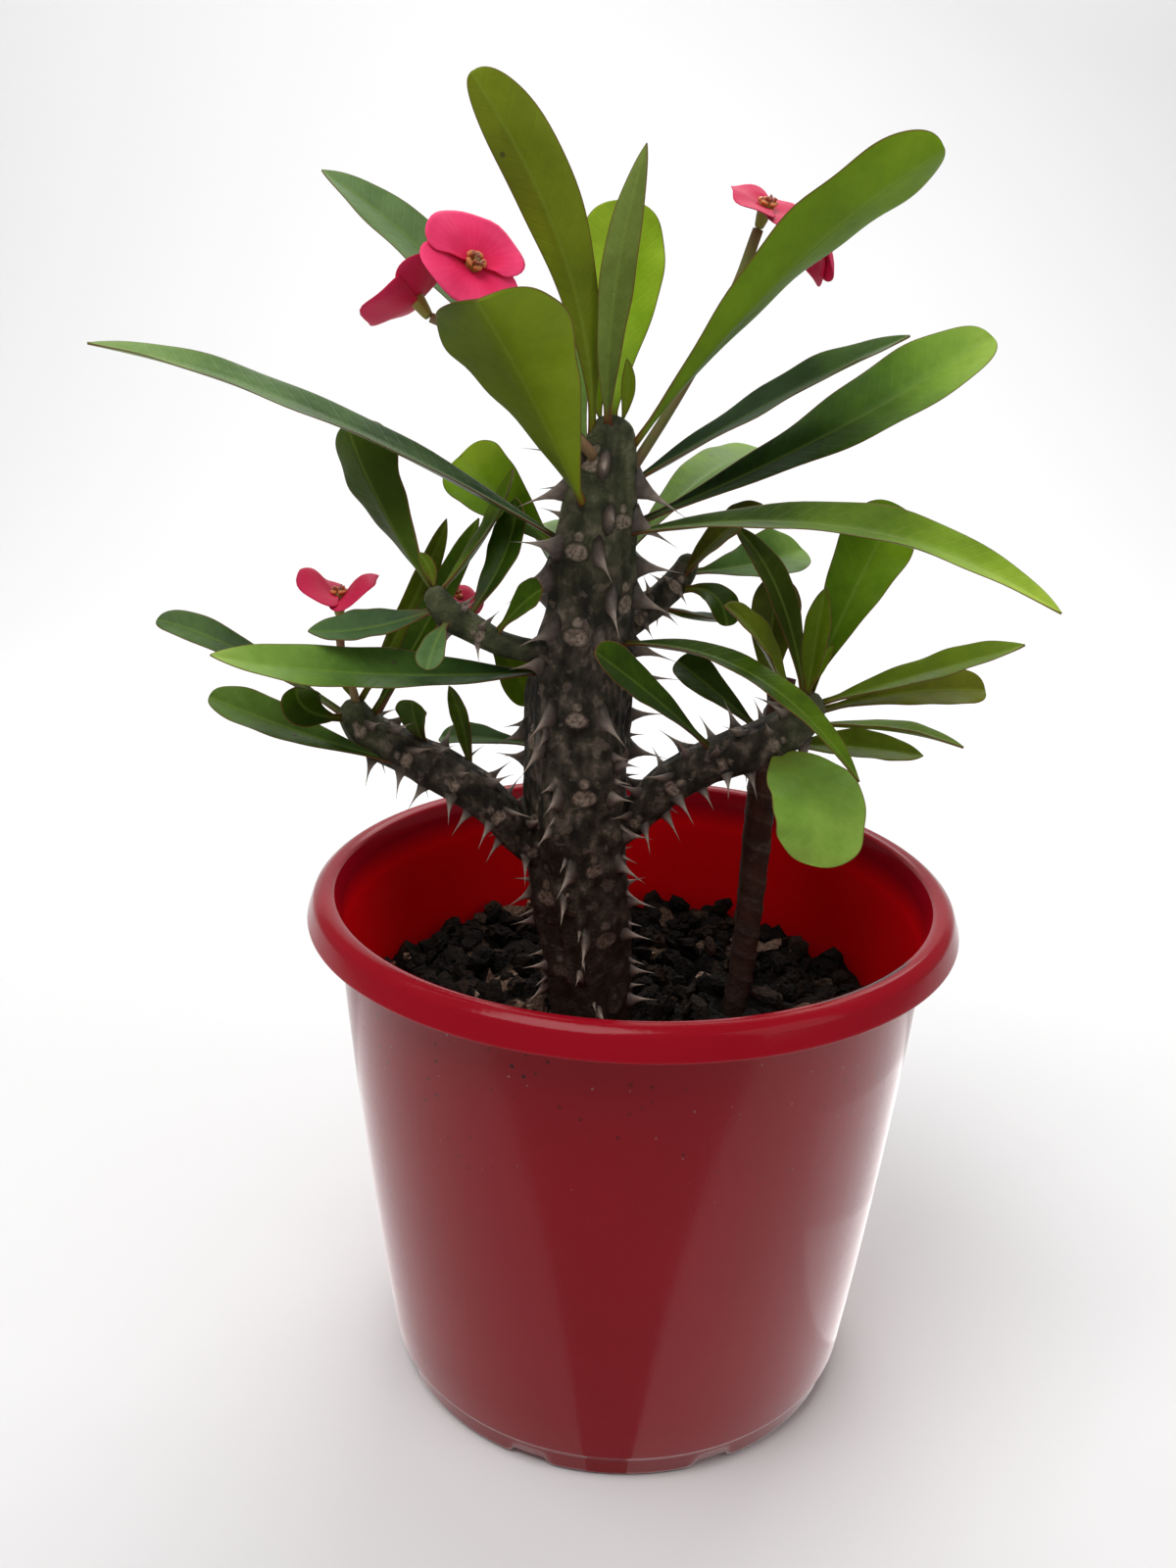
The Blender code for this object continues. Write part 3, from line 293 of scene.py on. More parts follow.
def smooth_path(points, steps):
    """A curve of cubics through the points, whose slope at each point is half the step past it."""
    p = np.array(points, float)
    p = np.vstack([2 * p[0] - p[1], p, 2 * p[-1] - p[-2]])
    a, b, c, d = p[:-3, None], p[1:-2, None], p[2:-1, None], p[3:, None]
    t = (np.arange(steps) / steps)[None, :, None]
    curve = 0.5 * (2 * b + (c - a) * t + (2 * a - 5 * b + 4 * c - d) * t**2 + (3 * b - a - 3 * c + d) * t**3)
    return np.vstack([curve.reshape(-1, p.shape[1]), p[-2]])


def ripple(points, scale, seed):
    """Smooth noise, mostly from -1 to 1: six sine waves of random direction, length and phase, added up."""
    draw = np.random.default_rng(seed)
    ways = unit(draw.normal(size=(6, 3))) * draw.uniform(0.6, 1.6, (6, 1)) * (FULL_TURN / scale)
    return np.sin(points @ ways.T + draw.uniform(0, 6.28, 6)).sum(-1) / 2.4


def quads_of(index):
    """Faces between the rows and columns of a grid of point numbers."""
    return np.stack([index[:-1, :-1], index[:-1, 1:], index[1:, 1:], index[1:, :-1]], -1).reshape(-1, 4)


def close_values(value):
    """Values (tube, row, column) in the order of close_tubes' points."""
    return np.concatenate([value.reshape(len(value), -1), value[:, [0, -1]].mean(2)], 1).ravel()


def close_tubes(grid, values):
    """A part, as (points, faces, values by name), of tubes from (tube, row, column, xyz) and their values.

    Columns close into rings and ends into fans. The faces are turned round where the first tube's volume,
    summed over its quads, comes out negative.
    """
    many, rows, columns, _ = grid.shape
    points = np.concatenate([grid.reshape(many, -1, 3), grid[:, [0, -1]].mean(2)], 1)
    index = np.arange(rows * columns).reshape(rows, columns)
    quads = quads_of(np.concatenate([index, index[:, :1]], 1))
    first, last, ahead = index[0], index[-1], np.roll(index[-1], -1)
    fans = np.concatenate([
        np.stack([np.full(columns, rows * columns), np.roll(first, -1), first], -1),
        np.stack([np.full(columns, rows * columns + 1), last, ahead], -1),
    ])
    a, b, c, d = (points[0][quads[:, corner]] - points[0].mean(0) for corner in range(4))
    if np.sum(np.cross(c - a, d - b) * (a + b + c + d)) < 0:
        quads, fans = quads[:, ::-1], fans[:, ::-1]
    shift = (np.arange(many) * points.shape[1])[:, None, None]
    faces = (quads + shift).reshape(-1, 4).tolist() + (fans + shift).reshape(-1, 3).tolist()
    return points.reshape(-1, 3), faces, {key: close_values(value) for key, value in values.items()}


def close_sheet(top, under):
    """Points and faces of a thin sheet: its two sides as grids, joined by quads along the four borders."""
    rows, columns, _ = top.shape
    points = np.concatenate([top.reshape(-1, 3), under.reshape(-1, 3)])
    index = np.arange(rows * columns).reshape(rows, columns)
    quads = quads_of(index)
    border = np.concatenate([index[0], index[1:, -1], index[-1, -2::-1], index[-2:0:-1, 0]])
    ahead = np.roll(border, -1)
    rim = np.stack([ahead, border, border + rows * columns, ahead + rows * columns], -1)
    a, b, c, d = (points[quads[:, corner]] for corner in range(4))
    if np.sum(np.cross(c - a, d - b) * (top - under).reshape(-1, 3).mean(0)) < 0:
        return points, np.concatenate([quads[:, ::-1], quads + rows * columns, rim[:, ::-1]]).tolist()
    return points, np.concatenate([quads, quads[:, ::-1] + rows * columns, rim]).tolist()


def joined(parts):
    """Several parts as one."""
    all_points, all_faces, count = [], [], 0
    for points, faces, _ in parts:
        all_points.append(points)
        all_faces += [[k + count for k in face] for face in faces]
        count += len(points)
    values = {key: np.concatenate([some[key] for _, _, some in parts]) for key in parts[0][2]}
    return np.concatenate(all_points), all_faces, values


def new_object(name, part, material, smooth=True):
    """An object at the origin from a part in millimetres."""
    points, faces, values = part
    mesh = bpy.data.meshes.new(name)
    mesh.from_pydata((points * MM).tolist(), [], faces)
    for key, value in values.items():
        kept = mesh.attributes.new(key, "FLOAT", "POINT")
        kept.data.foreach_set("value", np.asarray(value, np.float32).ravel())
    if smooth:
        mesh.shade_smooth()
    made = bpy.data.objects.new(name, mesh)
    bpy.context.scene.collection.objects.link(made)
    mesh.materials.append(material)
    return made


def add_piece(name, part, material, slot, *nodes, smooth=True):
    """A piece of the plant or the pot, which replaces the solids' nodes or, without any, is extra to them."""
    piece = new_object(name, part, material, smooth)
    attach(piece, "root")
    if nodes:
        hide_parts(*nodes)


class Axis:
    """A stem's line with its radius and the directions across it, read by distance along it."""

    def __init__(self, points, ribs, twist):
        path = smooth_path(points, 10)
        self.line, self.thick = path[:, :3], path[:, 3]
        self.at = np.concatenate([[0], np.cumsum(np.linalg.norm(np.diff(self.line, axis=0), axis=1))])
        self.length = self.at[-1]
        self.way = unit(np.gradient(self.line, axis=0))
        self.near = unit(NEAR - self.way * (self.way @ NEAR)[:, None])
        self.ribs, self.twist = ribs, twist

    def read(self, distance):
        """Centre, radius, direction and the two directions across, at distances along the axis."""
        def mix(rows):
            return np.stack([np.interp(distance, self.at, rows[:, k]) for k in range(3)], -1)
        way = unit(mix(self.way))
        near = unit(mix(self.near))
        return mix(self.line), np.interp(distance, self.at, self.thick), way, near, np.cross(way, near)

    def valley(self, centre):
        """Angle of the first valley between the ribs, which turns with height."""
        return np.radians(self.twist * (centre[..., 2] - VALLEY_FACES_FRONT_AT))

    def surface(self, distance, angle, lift=0.0):
        """Points on the ribbed surface, their outward direction and the stem's direction."""
        centre, radius, way, near, side = self.read(distance)
        out = near * np.cos(angle)[..., None] + side * np.sin(angle)[..., None]
        rib = 1 - RIB_HEIGHT * np.cos(self.ribs * (angle - self.valley(centre)))
        return centre + out * (radius * rib + lift)[..., None], out, way

    def grid(self, rows, columns):
        """Distances and angles of a grid over the whole stem."""
        distance = np.linspace(0, self.length, rows)[:, None] + np.zeros((1, columns))
        return distance, np.zeros((rows, 1)) + circle(columns)

    def angle_towards(self, distance, target):
        """Angle round the stem at which the target lies."""
        centre, _, _, near, side = self.read(distance)
        way = np.array(target, float) - centre
        return math.atan2(way @ side, way @ near)


AXES = {name: Axis(path, BRANCH_RIBS, 0.0) for name, path in STEM_PATHS.items()}
AXES["trunk"] = Axis(STEM_PATHS["trunk"], TRUNK_RIBS, TRUNK_TWIST)


class Value:
    """A shader node's output, which sums are written with as in arithmetic."""

    def __init__(self, socket):
        self.socket = socket

    def apply(self, operation, other=0.0, clamp=False):
        """One of Blender's maths operations, on this value and another."""
        inputs = {0: self, 1: other}
        return node(self.socket.id_data, "ShaderNodeMath", 0, inputs, operation=operation, use_clamp=clamp)

    def __add__(self, other):
        return self.apply("ADD", other)

    def __sub__(self, other):
        return self.apply("SUBTRACT", other)

    def __mul__(self, other):
        return self.apply("MULTIPLY", other)

    def spread(self, low, high, to_low=0.0, to_high=1.0):
        """The range low to high stretched to to_low to to_high, and held there."""
        inputs = {"Value": self, "From Min": low, "From Max": high, "To Min": to_low, "To Max": to_high}
        return node(self.socket.id_data, "ShaderNodeMapRange", 0, inputs, clamp=True)

    def ramp(self, *stops):
        """Colours by value, through (value, colour) stops."""
        made = node(self.socket.id_data, "ShaderNodeValToRGB", "Color", {"Fac": self})
        bar = made.socket.node.color_ramp
        while len(bar.elements) < len(stops):
            bar.elements.new(0.5)
        for element, (place, colour) in zip(bar.elements, stops):
            element.position = place
            element.color = (*colour, 1)
        return made

    def link(self, socket):
        self.socket.id_data.links.new(self.socket, socket)


def node(tree, kind, output, inputs=None, **settings):
    """The output of a new shader node, with its settings and its inputs: numbers, colours or Values."""
    made = tree.nodes.new(kind)
    for key, value in settings.items():
        setattr(made, key, value)
    for key, value in (inputs or {}).items():
        if isinstance(value, Value):
            value.link(made.inputs[key])
        else:
            made.inputs[key].default_value = value
    return Value(made.outputs[output])


def new_group(name, inputs, output):
    """An empty node group with number inputs and one number output."""
    tree = bpy.data.node_groups.new(name, "ShaderNodeTree")
    for key, value in inputs.items():
        tree.interface.new_socket(key, in_out="INPUT", socket_type="NodeSocketFloat").default_value = value
    tree.interface.new_socket(output, in_out="OUTPUT", socket_type="NodeSocketFloat")
    given = tree.nodes.new("NodeGroupInput")
    return tree, [Value(given.outputs[key]) for key in inputs], tree.nodes.new("NodeGroupOutput").inputs[0]


def make_mottle_group():
    """Soft patches: three octaves of noise on Object coordinates, with their contrast raised."""
    tree, (scale, contrast), result = new_group("soft_mottle", {"Scale": 100.0, "Contrast": 2.0}, "Factor")
    place = node(tree, "ShaderNodeTexCoord", "Object")
    noise = node(tree, "ShaderNodeTexNoise", "Fac", {"Vector": place, "Scale": scale, "Detail": 3.0})
    ((noise - 0.5) * contrast).apply("ADD", 0.5, clamp=True).link(result)
    return tree


def make_speck_group():
    """Scattered specks: cells of a Voronoi pattern whose random value is low, shown near their centres."""
    usual = {"Scale": 300.0, "Share": 0.1, "Size": 0.3}
    tree, (scale, share, size), result = new_group("specks", usual, "Mask")
    place = node(tree, "ShaderNodeTexCoord", "Object")
    distance = node(tree, "ShaderNodeTexVoronoi", "Distance", {"Vector": place, "Scale": scale})
    colour = Value(distance.socket.node.outputs["Color"])
    tone = node(tree, "ShaderNodeSeparateColor", 0, {"Color": colour})
    (tone.apply("LESS_THAN", share) * distance.apply("LESS_THAN", size)).link(result)
    return tree


MOTTLE = make_mottle_group()
SPECKS = make_speck_group()


class Finish:
    """A material in the making: its methods add nodes for it, and lay one colour over another."""

    def __init__(self, name, roughness, specular=0.5):
        self.material = bpy.data.materials.new(name)
        self.material.use_nodes = True
        self.tree = self.material.node_tree
        self.sockets = self.tree.nodes["Principled BSDF"].inputs
        self.sockets["Roughness"].default_value = roughness
        self.sockets["Specular IOR Level"].default_value = specular
        self.colour = None

    def read(self, name):
        return node(self.tree, "ShaderNodeAttribute", "Fac", attribute_name=name)

    def place(self):
        return node(self.tree, "ShaderNodeTexCoord", "Object")

    def level(self):
        """Height above the ground, in metres."""
        return node(self.tree, "ShaderNodeSeparateXYZ", "Z", {"Vector": self.place()})

    def mottle(self, scale, contrast):
        return node(self.tree, "ShaderNodeGroup", 0, {"Scale": scale, "Contrast": contrast}, node_tree=MOTTLE)

    def specks(self, scale, share, size):
        inputs = {"Scale": scale, "Share": share, "Size": size}
        return node(self.tree, "ShaderNodeGroup", 0, inputs, node_tree=SPECKS)

    def streaks(self, height_scale, scale, detail):
        """Noise stretched or squeezed along z."""
        inputs = {"Vector": self.place(), "Scale": (1, 1, height_scale)}
        inputs = {"Vector": node(self.tree, "ShaderNodeMapping", 0, inputs), "Scale": scale, "Detail": detail}
        return node(self.tree, "ShaderNodeTexNoise", "Fac", inputs)

    def lay(self, share, colour, how="MIX"):
        """Lays a colour over the one so far, by a share."""
        inputs = {0: share, 6: self.colour, 7: (*colour, 1) if isinstance(colour, tuple) else colour}
        self.colour = node(self.tree, "ShaderNodeMix", 2, inputs, data_type="RGBA", blend_type=how)

    def done(self, height, distance, strength):
        """Links the colour and a bump, and gives back the material."""
        self.colour.link(self.sockets["Base Color"])
        inputs = {"Height": height, "Distance": distance, "Strength": strength}
        node(self.tree, "ShaderNodeBump", "Normal", inputs).link(self.sockets["Normal"])
        return self.material


GREEN_TONES = (0.0, 0.22, 0.45, 0.70, 1.0)
GREENS = {  # colours at those tones
    "fresh": ((0.006, 0.016, 0.001), (0.024, 0.060, 0.002), (0.085, 0.180, 0.004),
              (0.205, 0.370, 0.009), (0.450, 0.640, 0.045)),
    "olive": ((0.014, 0.016, 0.001), (0.048, 0.052, 0.003), (0.140, 0.160, 0.006),
              (0.260, 0.310, 0.015), (0.440, 0.500, 0.060)),
    "cool": ((0.008, 0.022, 0.010), (0.024, 0.056, 0.020), (0.080, 0.150, 0.050),
             (0.200, 0.310, 0.120), (0.430, 0.560, 0.260)),
}


def leaf_finish():
    """Green by tone, which carries painted light and shade, with a faint pale midrib and side veins, a thin
    red-brown margin and a duller back.
    """
    leaf = Finish("leaf_green", 0.42, 0.09)
    patches, fine = leaf.mottle(55.0, 2.4), leaf.mottle(420.0, 2.0)
    across, along = leaf.read("across").apply("ABSOLUTE"), leaf.read("along")
    vein = ((along - across * 0.9) * 1.45).apply("SINE").spread(0.86, 1.0)
    # The tone value holds painted light and shade besides the leaf's own green.
    tone = patches * 0.16 + leaf.read("tone") - 0.08 + vein * 0.012 + (fine - 0.5) * 0.05
    greens = {name: tone.ramp(*zip(GREEN_TONES, colours)) for name, colours in GREENS.items()}
    leaf.colour = greens["fresh"]
    leaf.lay(leaf.read("olive"), greens["olive"])
    leaf.lay(leaf.read("cool"), greens["cool"])
    leaf.lay(leaf.read("under") * 0.25, (0.10, 0.145, 0.010))
    rib = across.spread(0.1, 0.7, 0.2, 0.0)
    leaf.lay(rib, (0.26, 0.36, 0.06))
    leaf.lay((leaf.read("half") - across).spread(0.1, 0.5, 0.75, 0.0), (0.150, 0.055, 0.022))
    leaf.lay(along.spread(1.5, 7.0, 0.8, 0.0) * leaf.read("red"), (0.16, 0.022, 0.014))
    leaf.lay(leaf.specks(170.0, 0.012, 0.13) * 0.7, (0.05, 0.045, 0.02))
    (patches * 0.16 + 0.34).link(leaf.sockets["Roughness"])
    return leaf.done(fine * 0.35 - vein * 0.25 - rib, 0.00025, 0.7)


def bark_finish():
    """Grey-brown bark, darker and browner towards the soil as painted shade where it stands in the pot,
    greener near the tips, with buff flakes and ringed buff scars.
    """
    bark = Finish("bark_grey", 0.72, 0.2)
    patches, fine = bark.mottle(140.0, 2.6), bark.mottle(900.0, 2.2)
    streak = bark.streaks(0.55, 330.0, 3.0)
    bark.colour = (patches * 0.3 + streak * 0.7).ramp(
        (0.32, (0.008, 0.006, 0.004)), (0.46, (0.026, 0.021, 0.013)), (0.60, (0.064, 0.053, 0.036)),
        (0.76, (0.190, 0.150, 0.115)))
    flakes = bark.mottle(210.0, 4.0).spread(0.80, 1.0, 0.0, 0.42)
    bark.lay(flakes, (0.200, 0.150, 0.115))
    green = patches.ramp(
        (0.1, (0.030, 0.036, 0.016)), (0.6, (0.075, 0.090, 0.036)), (0.95, (0.130, 0.140, 0.070)))
    bark.lay(bark.read("young") * 0.75, green)
    bark.lay(fine * 0.35, (0.30, 0.26, 0.22), "MULTIPLY")
    bark.lay(bark.read("scar") * 0.85, fine.ramp((0.2, (0.13, 0.095, 0.070)), (0.8, (0.34, 0.26, 0.20))))
    bark.lay(bark.read("ring") * 0.8, (0.015, 0.010, 0.008))
    bark.lay(bark.read("red"), (0.070, 0.021, 0.012))
    # Painted shade: darker from a little above the pot's rim down to the soil.
    bark.lay(bark.level().spread(0.120, 0.190, 0.88, 0.0), (0.020, 0.011, 0.007))
    return bark.done(streak + fine * 0.6 + flakes, 0.0006, 0.6)


def thorn_finish():
    """Grey-beige thorns: browner at the foot, paler along their length, dark at the very point."""
    thorn = Finish("thorn_grey", 0.5, 0.25)
    patches = thorn.mottle(500.0, 2.5)
    thorn.colour = thorn.read("reach").ramp(
        (0.0, (0.040, 0.032, 0.025)), (0.22, (0.120, 0.092, 0.074)), (0.50, (0.340, 0.275, 0.230)),
        (0.86, (0.340, 0.270, 0.215)), (1.0, (0.08, 0.05, 0.035)))
    thorn.lay(patches * 0.5, (0.35, 0.28, 0.24), "MULTIPLY")
    return thorn.done(patches, 0.0003, 0.6)


def stalk_finish():
    """Green stalks that turn red-brown in patches."""
    stalk = Finish("stalk_green", 0.5, 0.25)
    stalk.colour = stalk.mottle(60.0, 3.0).ramp(
        (0.15, (0.150, 0.150, 0.040)), (0.55, (0.210, 0.130, 0.060)), (0.9, (0.200, 0.075, 0.045)))
    return stalk.done(stalk.mottle(700.0, 2.0), 0.0002, 0.5)


def bract_finish():
    """Crimson pink, deeper towards the cup and on the back, with faint radial veins; some blooms are painted
    a darker red as shade.
    """
    bract = Finish("bract_pink", 0.6, 0.15)
    vein = (bract.read("turn") * 34.0).apply("SINE")
    patches = bract.mottle(180.0, 2.0)
    bract.colour = (bract.read("reach") + (patches - 0.5) * 0.35 + vein * 0.03).ramp(
        (0.0, (0.66, 0.012, 0.060)), (0.35, (0.86, 0.024, 0.115)), (1.0, (0.98, 0.060, 0.195)))
    bract.lay(bract.read("under") * 0.6, (0.52, 0.008, 0.050))
    # Painted shade: whole blooms given a darker red by their value in the table.
    bract.lay(bract.read("deep"), (0.46, 0.005, 0.042))
    return bract.done(vein * 0.3 + patches, 0.00010, 0.4)


def cup_finish():
    """The cup: yellow-green outside, with orange glands and a brown-pink middle, by its part value."""
    cup = Finish("cup_yellow", 0.45, 0.3)
    patches = cup.mottle(700.0, 2.0)
    cup.colour = (cup.read("part") + patches * 0.08).ramp(
        (0.0, (0.200, 0.230, 0.045)), (0.30, (0.330, 0.250, 0.050)), (0.50, (0.700, 0.240, 0.070)),
        (0.72, (0.400, 0.110, 0.060)), (1.0, (0.560, 0.320, 0.260)))
    return cup.done(patches, 0.0002, 0.6)


def plastic_finish():
    """Satin moulded plastic, painted brighter inside as if lit through it and lighter on the lip as painted
    light, with faint scuffs, soil specks high up, dust low down and painted shade in a groove at the rim.
    """
    pot = Finish("plastic_red", 0.14, 0.16)
    patches, crowd = pot.mottle(18.0, 1.6), pot.mottle(26.0, 5.0)
    painted_glow = pot.read("painted_glow")
    pot.colour = patches.ramp((0.1, (0.520, 0.003, 0.014)), (0.9, (0.600, 0.004, 0.018)))
    high = pot.level().spread(0.095, 0.15) * painted_glow.spread(0.0, 0.2, 1.0, 0.0)
    pot.lay(pot.specks(330.0, 0.30, 0.20) * high * crowd, (0.030, 0.010, 0.008))
    pot.lay(pot.specks(410.0, 0.07, 0.16) * (high * 0.7), (0.62, 0.30, 0.30))
    pot.lay(pot.level().spread(0.012, 0.0, 0.0, 0.5) * patches, (0.10, 0.045, 0.035))
    # Painted light: the lip is made lighter than the outer wall, and the inside brighter still, as if lit
    # through the plastic.
    shade = painted_glow.ramp((0.0, (0.42, 0.42, 0.42)), (0.5, (0.56, 0.80, 0.75)), (1.0, (1.4, 0.6, 0.4)))
    pot.lay(1.0, shade, "MULTIPLY")
    # Painted shade: the groove band on the rim's inside edge is darkened as a recess in shade; the profile
    # has no recess there.
    pot.lay(pot.read("groove") * crowd.spread(0.1, 0.4), (0.070, 0.002, 0.004))
    pot.streaks(6, 60.0, 5.0).spread(0.35, 0.75, 0.11, 0.18).link(pot.sockets["Roughness"])
    return pot.done(pot.mottle(900.0, 1.5), 0.00005, 0.5)


def soil_finish():
    """Damp soil crumbs or bark chips: each one's colour from its kind value."""
    soil = Finish("soil_dark", 0.85, 0.15)
    fine = soil.mottle(800.0, 2.5)
    soil.colour = (soil.read("kind") + (fine - 0.5) * 0.22).ramp(
        (0.0, (0.006, 0.005, 0.004)), (0.40, (0.016, 0.011, 0.008)), (0.70, (0.070, 0.042, 0.028)),
        (0.88, (0.190, 0.120, 0.082)), (1.0, (0.36, 0.25, 0.19)))
    return soil.done(fine, 0.0012, 0.8)


LEAF, BARK, THORN, STALK = leaf_finish(), bark_finish(), thorn_finish(), stalk_finish()
BRACT, CUP, PLASTIC, SOIL = bract_finish(), cup_finish(), plastic_finish(), soil_finish()


def each_leaf(groups):
    """The number, then the stem, name and row, of every leaf in a table."""
    return enumerate((stem, name, row) for stem, rows in groups for name, row in rows.items())


def leaf_arrays(stem, name, row, seed):
    """Grid and values of a leaf.

    The midrib is a parabola from inside the stem to the tip. Across it the blade is folded upwards, waved at
    its edges and about 0.8 mm thick, with a groove over the midrib and a keel under it. Its half width is the
    product of a power of the share from the foot and a power of the share from the tip.
    """
    share, tip, width, arch, looks, (opens, closes), tones = row
    foot_tone, tip_tone, right_half_light, olive = np.array(tones) / 100
    axis = AXES[stem]
    buried = TRUNK_BURIED if stem in ("trunk", "young") else 0.0
    distance = share * (axis.length + buried) - buried
    tip = np.array(tip, float)
    angle = axis.angle_towards(distance, tip) + math.radians(FOOT_TURN.get(name, 0))
    start, out, _ = axis.surface(np.array(distance), np.array(angle), 0.5)
    length = np.linalg.norm(tip - start)
    foot = start - out * LEAF_SUNK
    control = (start + tip) / 2 + 2 * np.array(arch, float) + out * (0.08 * length)
    rows, columns = FINE_LEAF_GRID if width > WIDE_LEAF else LEAF_GRID
    t = (1 - (1 - np.linspace(0, 1, rows)) ** 1.7)[:, None]
    w = np.sin(np.linspace(-1, 1, columns) * math.pi / 2)
    place = foot * (1 - t) ** 2 + control * (2 * t * (1 - t)) + tip * t**2
    along = unit(np.gradient(place, axis=0))
    look = np.array(looks, float)
    normal = unit(look - along * (along @ look)[:, None])
    across = np.cross(along, normal)
    peak = opens / (opens + closes)
    blade = width * t**opens * (1 - t) ** closes / (peak**opens * (1 - peak) ** closes)
    wobble = 1 + 0.025 * np.sin(11 * t + seed) + 0.015 * np.sin(23 * t + 2 * seed)
    left_share, right_share = UNEQUAL.get(name, (1.0, 1.0))
    h = np.maximum(blade * wobble, min(2.6, 0.26 * width) * (1 - 0.85 * t)) / 2
    h = h * np.where(w > 0, right_share, left_share)
    fold = 0.30 * np.abs(w) ** 1.3 - 0.05
    wave = 0.08 * w**2 * np.sin(9 * t + seed) * (4 * t * (1 - t))
    wave += 0.035 * np.abs(w) ** 3 * np.sin(26 * t + 3 * seed + 2 * np.sign(w)) * np.minimum(1, h / 6)
    rise = h * (fold + wave)
    thick = 0.35 * np.sqrt(np.maximum(0, 1 - w**4)) + 0.04
    groove = 0.30 * bell(w * h / 0.9) * np.minimum(1, h / 3)
    keel = 0.85 * bell(w * h / 1.3) * (1 - t) ** 0.6 * np.minimum(1, h / 3)
    middle = place[:, None] + across[:, None] * (w * h)[..., None]
    top = middle + normal[:, None] * (rise + thick - groove)[..., None]
    under = middle + normal[:, None] * (rise - thick - keel)[..., None]

    def ring(upper, lower):
        """One closed ring per row: across the top and back across the underside."""
        return np.concatenate([upper, lower[:, ::-1]], 1)[None]

    # Painted light and shade: darker at the foot and lighter at the tip in part, and one half lighter than
    # the other.
    tone = foot_tone + (tip_tone - foot_tone) * t**1.6 + 0.5 * right_half_light * np.tanh(3 * w)
    even = 0 * t * w
    values = {
        "tone": np.clip(tone, 0, 1), "across": w * h, "half": h, "along": (t + even) * length,
        "under": even, "olive": even + olive, "cool": even + COOL.get(name, 0.0),
        "red": even + (1.0 if name.startswith("crown") else 0.3),
    }
    values = {key: ring(value, value + (key == "under")) for key, value in values.items()}
    return ring(top, under), values


def make_leaf(stem, name, row, seed):
    """Adds a leaf and gives back its midrib past the foot: x, y, z and 0.55 of the half width at each row."""
    grid, values = leaf_arrays(stem, name, row, seed)
    add_piece("blade_" + name, close_tubes(grid, values), LEAF, "leaf", "leaf_" + name)
    middle = grid[0].mean(1)
    half = np.linalg.norm(grid[0][:, 0] - middle, axis=1)
    return np.concatenate([middle, 0.55 * half[:, None]], 1)[LEAF_FOOT_ROWS:]


def make_small_leaves():
    """The young leaves at the growing tips, fused into one piece."""
    parts = [close_tubes(*leaf_arrays(*leaf, seed)) for seed, leaf in each_leaf(SMALL_LEAVES)]
    add_piece("blades_small", joined(parts), LEAF, "leaf")


def scars_of(axis, start, step):
    """(distance, angle, number) of each leaf scar: one row per valley, each row starting a little higher."""
    found = []
    for rib in range(axis.ribs):
        first = start + step * ((rib * 2) % axis.ribs) / axis.ribs
        for number, distance in enumerate(np.arange(first, axis.length - 0.4 * step, step)):
            centre = axis.read(np.array(distance))[0]
            turn = float(axis.valley(centre)) + rib * FULL_TURN / axis.ribs
            found.append((distance, turn, 7 * rib + number))
    return np.array(found)


def stem_arrays(axis, scars, scar_size, grid_size, young_from):
    """Grid and values of a stem.

    A ribbed tube with a domed end, whose radius also carries long furrows, a low swelling under each leaf
    scar and a shallow dish in it; a small bud scar sits above each leaf scar.
    """
    distance, angle = axis.grid(*grid_size)
    flat, out, _ = axis.surface(distance, angle)
    centre, radius = axis.read(distance)[:2]
    end = 0.9 * axis.thick[-1]
    dome = np.sqrt(1.004 - np.clip(1 - (axis.length - distance) / end, 0, 1) ** 2)[..., None]
    flat = centre + (flat - centre) * dome
    lift = 0.03 * radius * ripple(flat, 16, 3) + 0.012 * radius * ripple(flat, 5, 5)
    lift += 0.018 * radius * np.sin(17 * angle + 0.05 * distance + ripple(flat, 22, 8))
    scar = np.zeros_like(radius)
    ring = np.zeros_like(radius)
    for at, turn, number in scars:
        x = np.arctan2(np.sin(angle - turn), np.cos(angle - turn)) * radius
        y = distance - at + 0.06 * x**2 / scar_size
        size = scar_size * (0.85 + 0.25 * math.sin(1.7 * number) ** 2)
        e = np.sqrt((x / size) ** 2 + (y / (0.72 * size)) ** 2)
        bud = np.sqrt(x**2 + (y - 1.2 * size) ** 2) / (0.48 * size)
        lift += 0.22 * size * bell(e / 1.7) - 0.13 * size * np.exp(-((e / 0.62) ** 4))
        lift += 0.10 * size * bell(bud)
        scar = np.maximum(scar, np.clip((1.05 - e) / 0.22, 0, 1))
        scar = np.maximum(scar, 0.8 * np.clip((1.0 - bud) / 0.3, 0, 1))
        ring = np.maximum(ring, np.clip(1 - np.abs(e - 1.16) / 0.14, 0, 1))
        ring = np.maximum(ring, 0.7 * np.clip(1 - np.abs(e - 0.55) / 0.10, 0, 1) * (y < 0.2 * size))
        ring = np.maximum(ring, 0.7 * np.clip(1 - np.abs(bud - 1.15) / 0.25, 0, 1))
    young = np.clip((distance / axis.length - young_from) / 0.25, 0, 1)
    values = {"scar": scar, "ring": ring, "young": young, "red": 0 * radius}
    return (flat + out * lift[..., None])[None], {key: value[None] for key, value in values.items()}


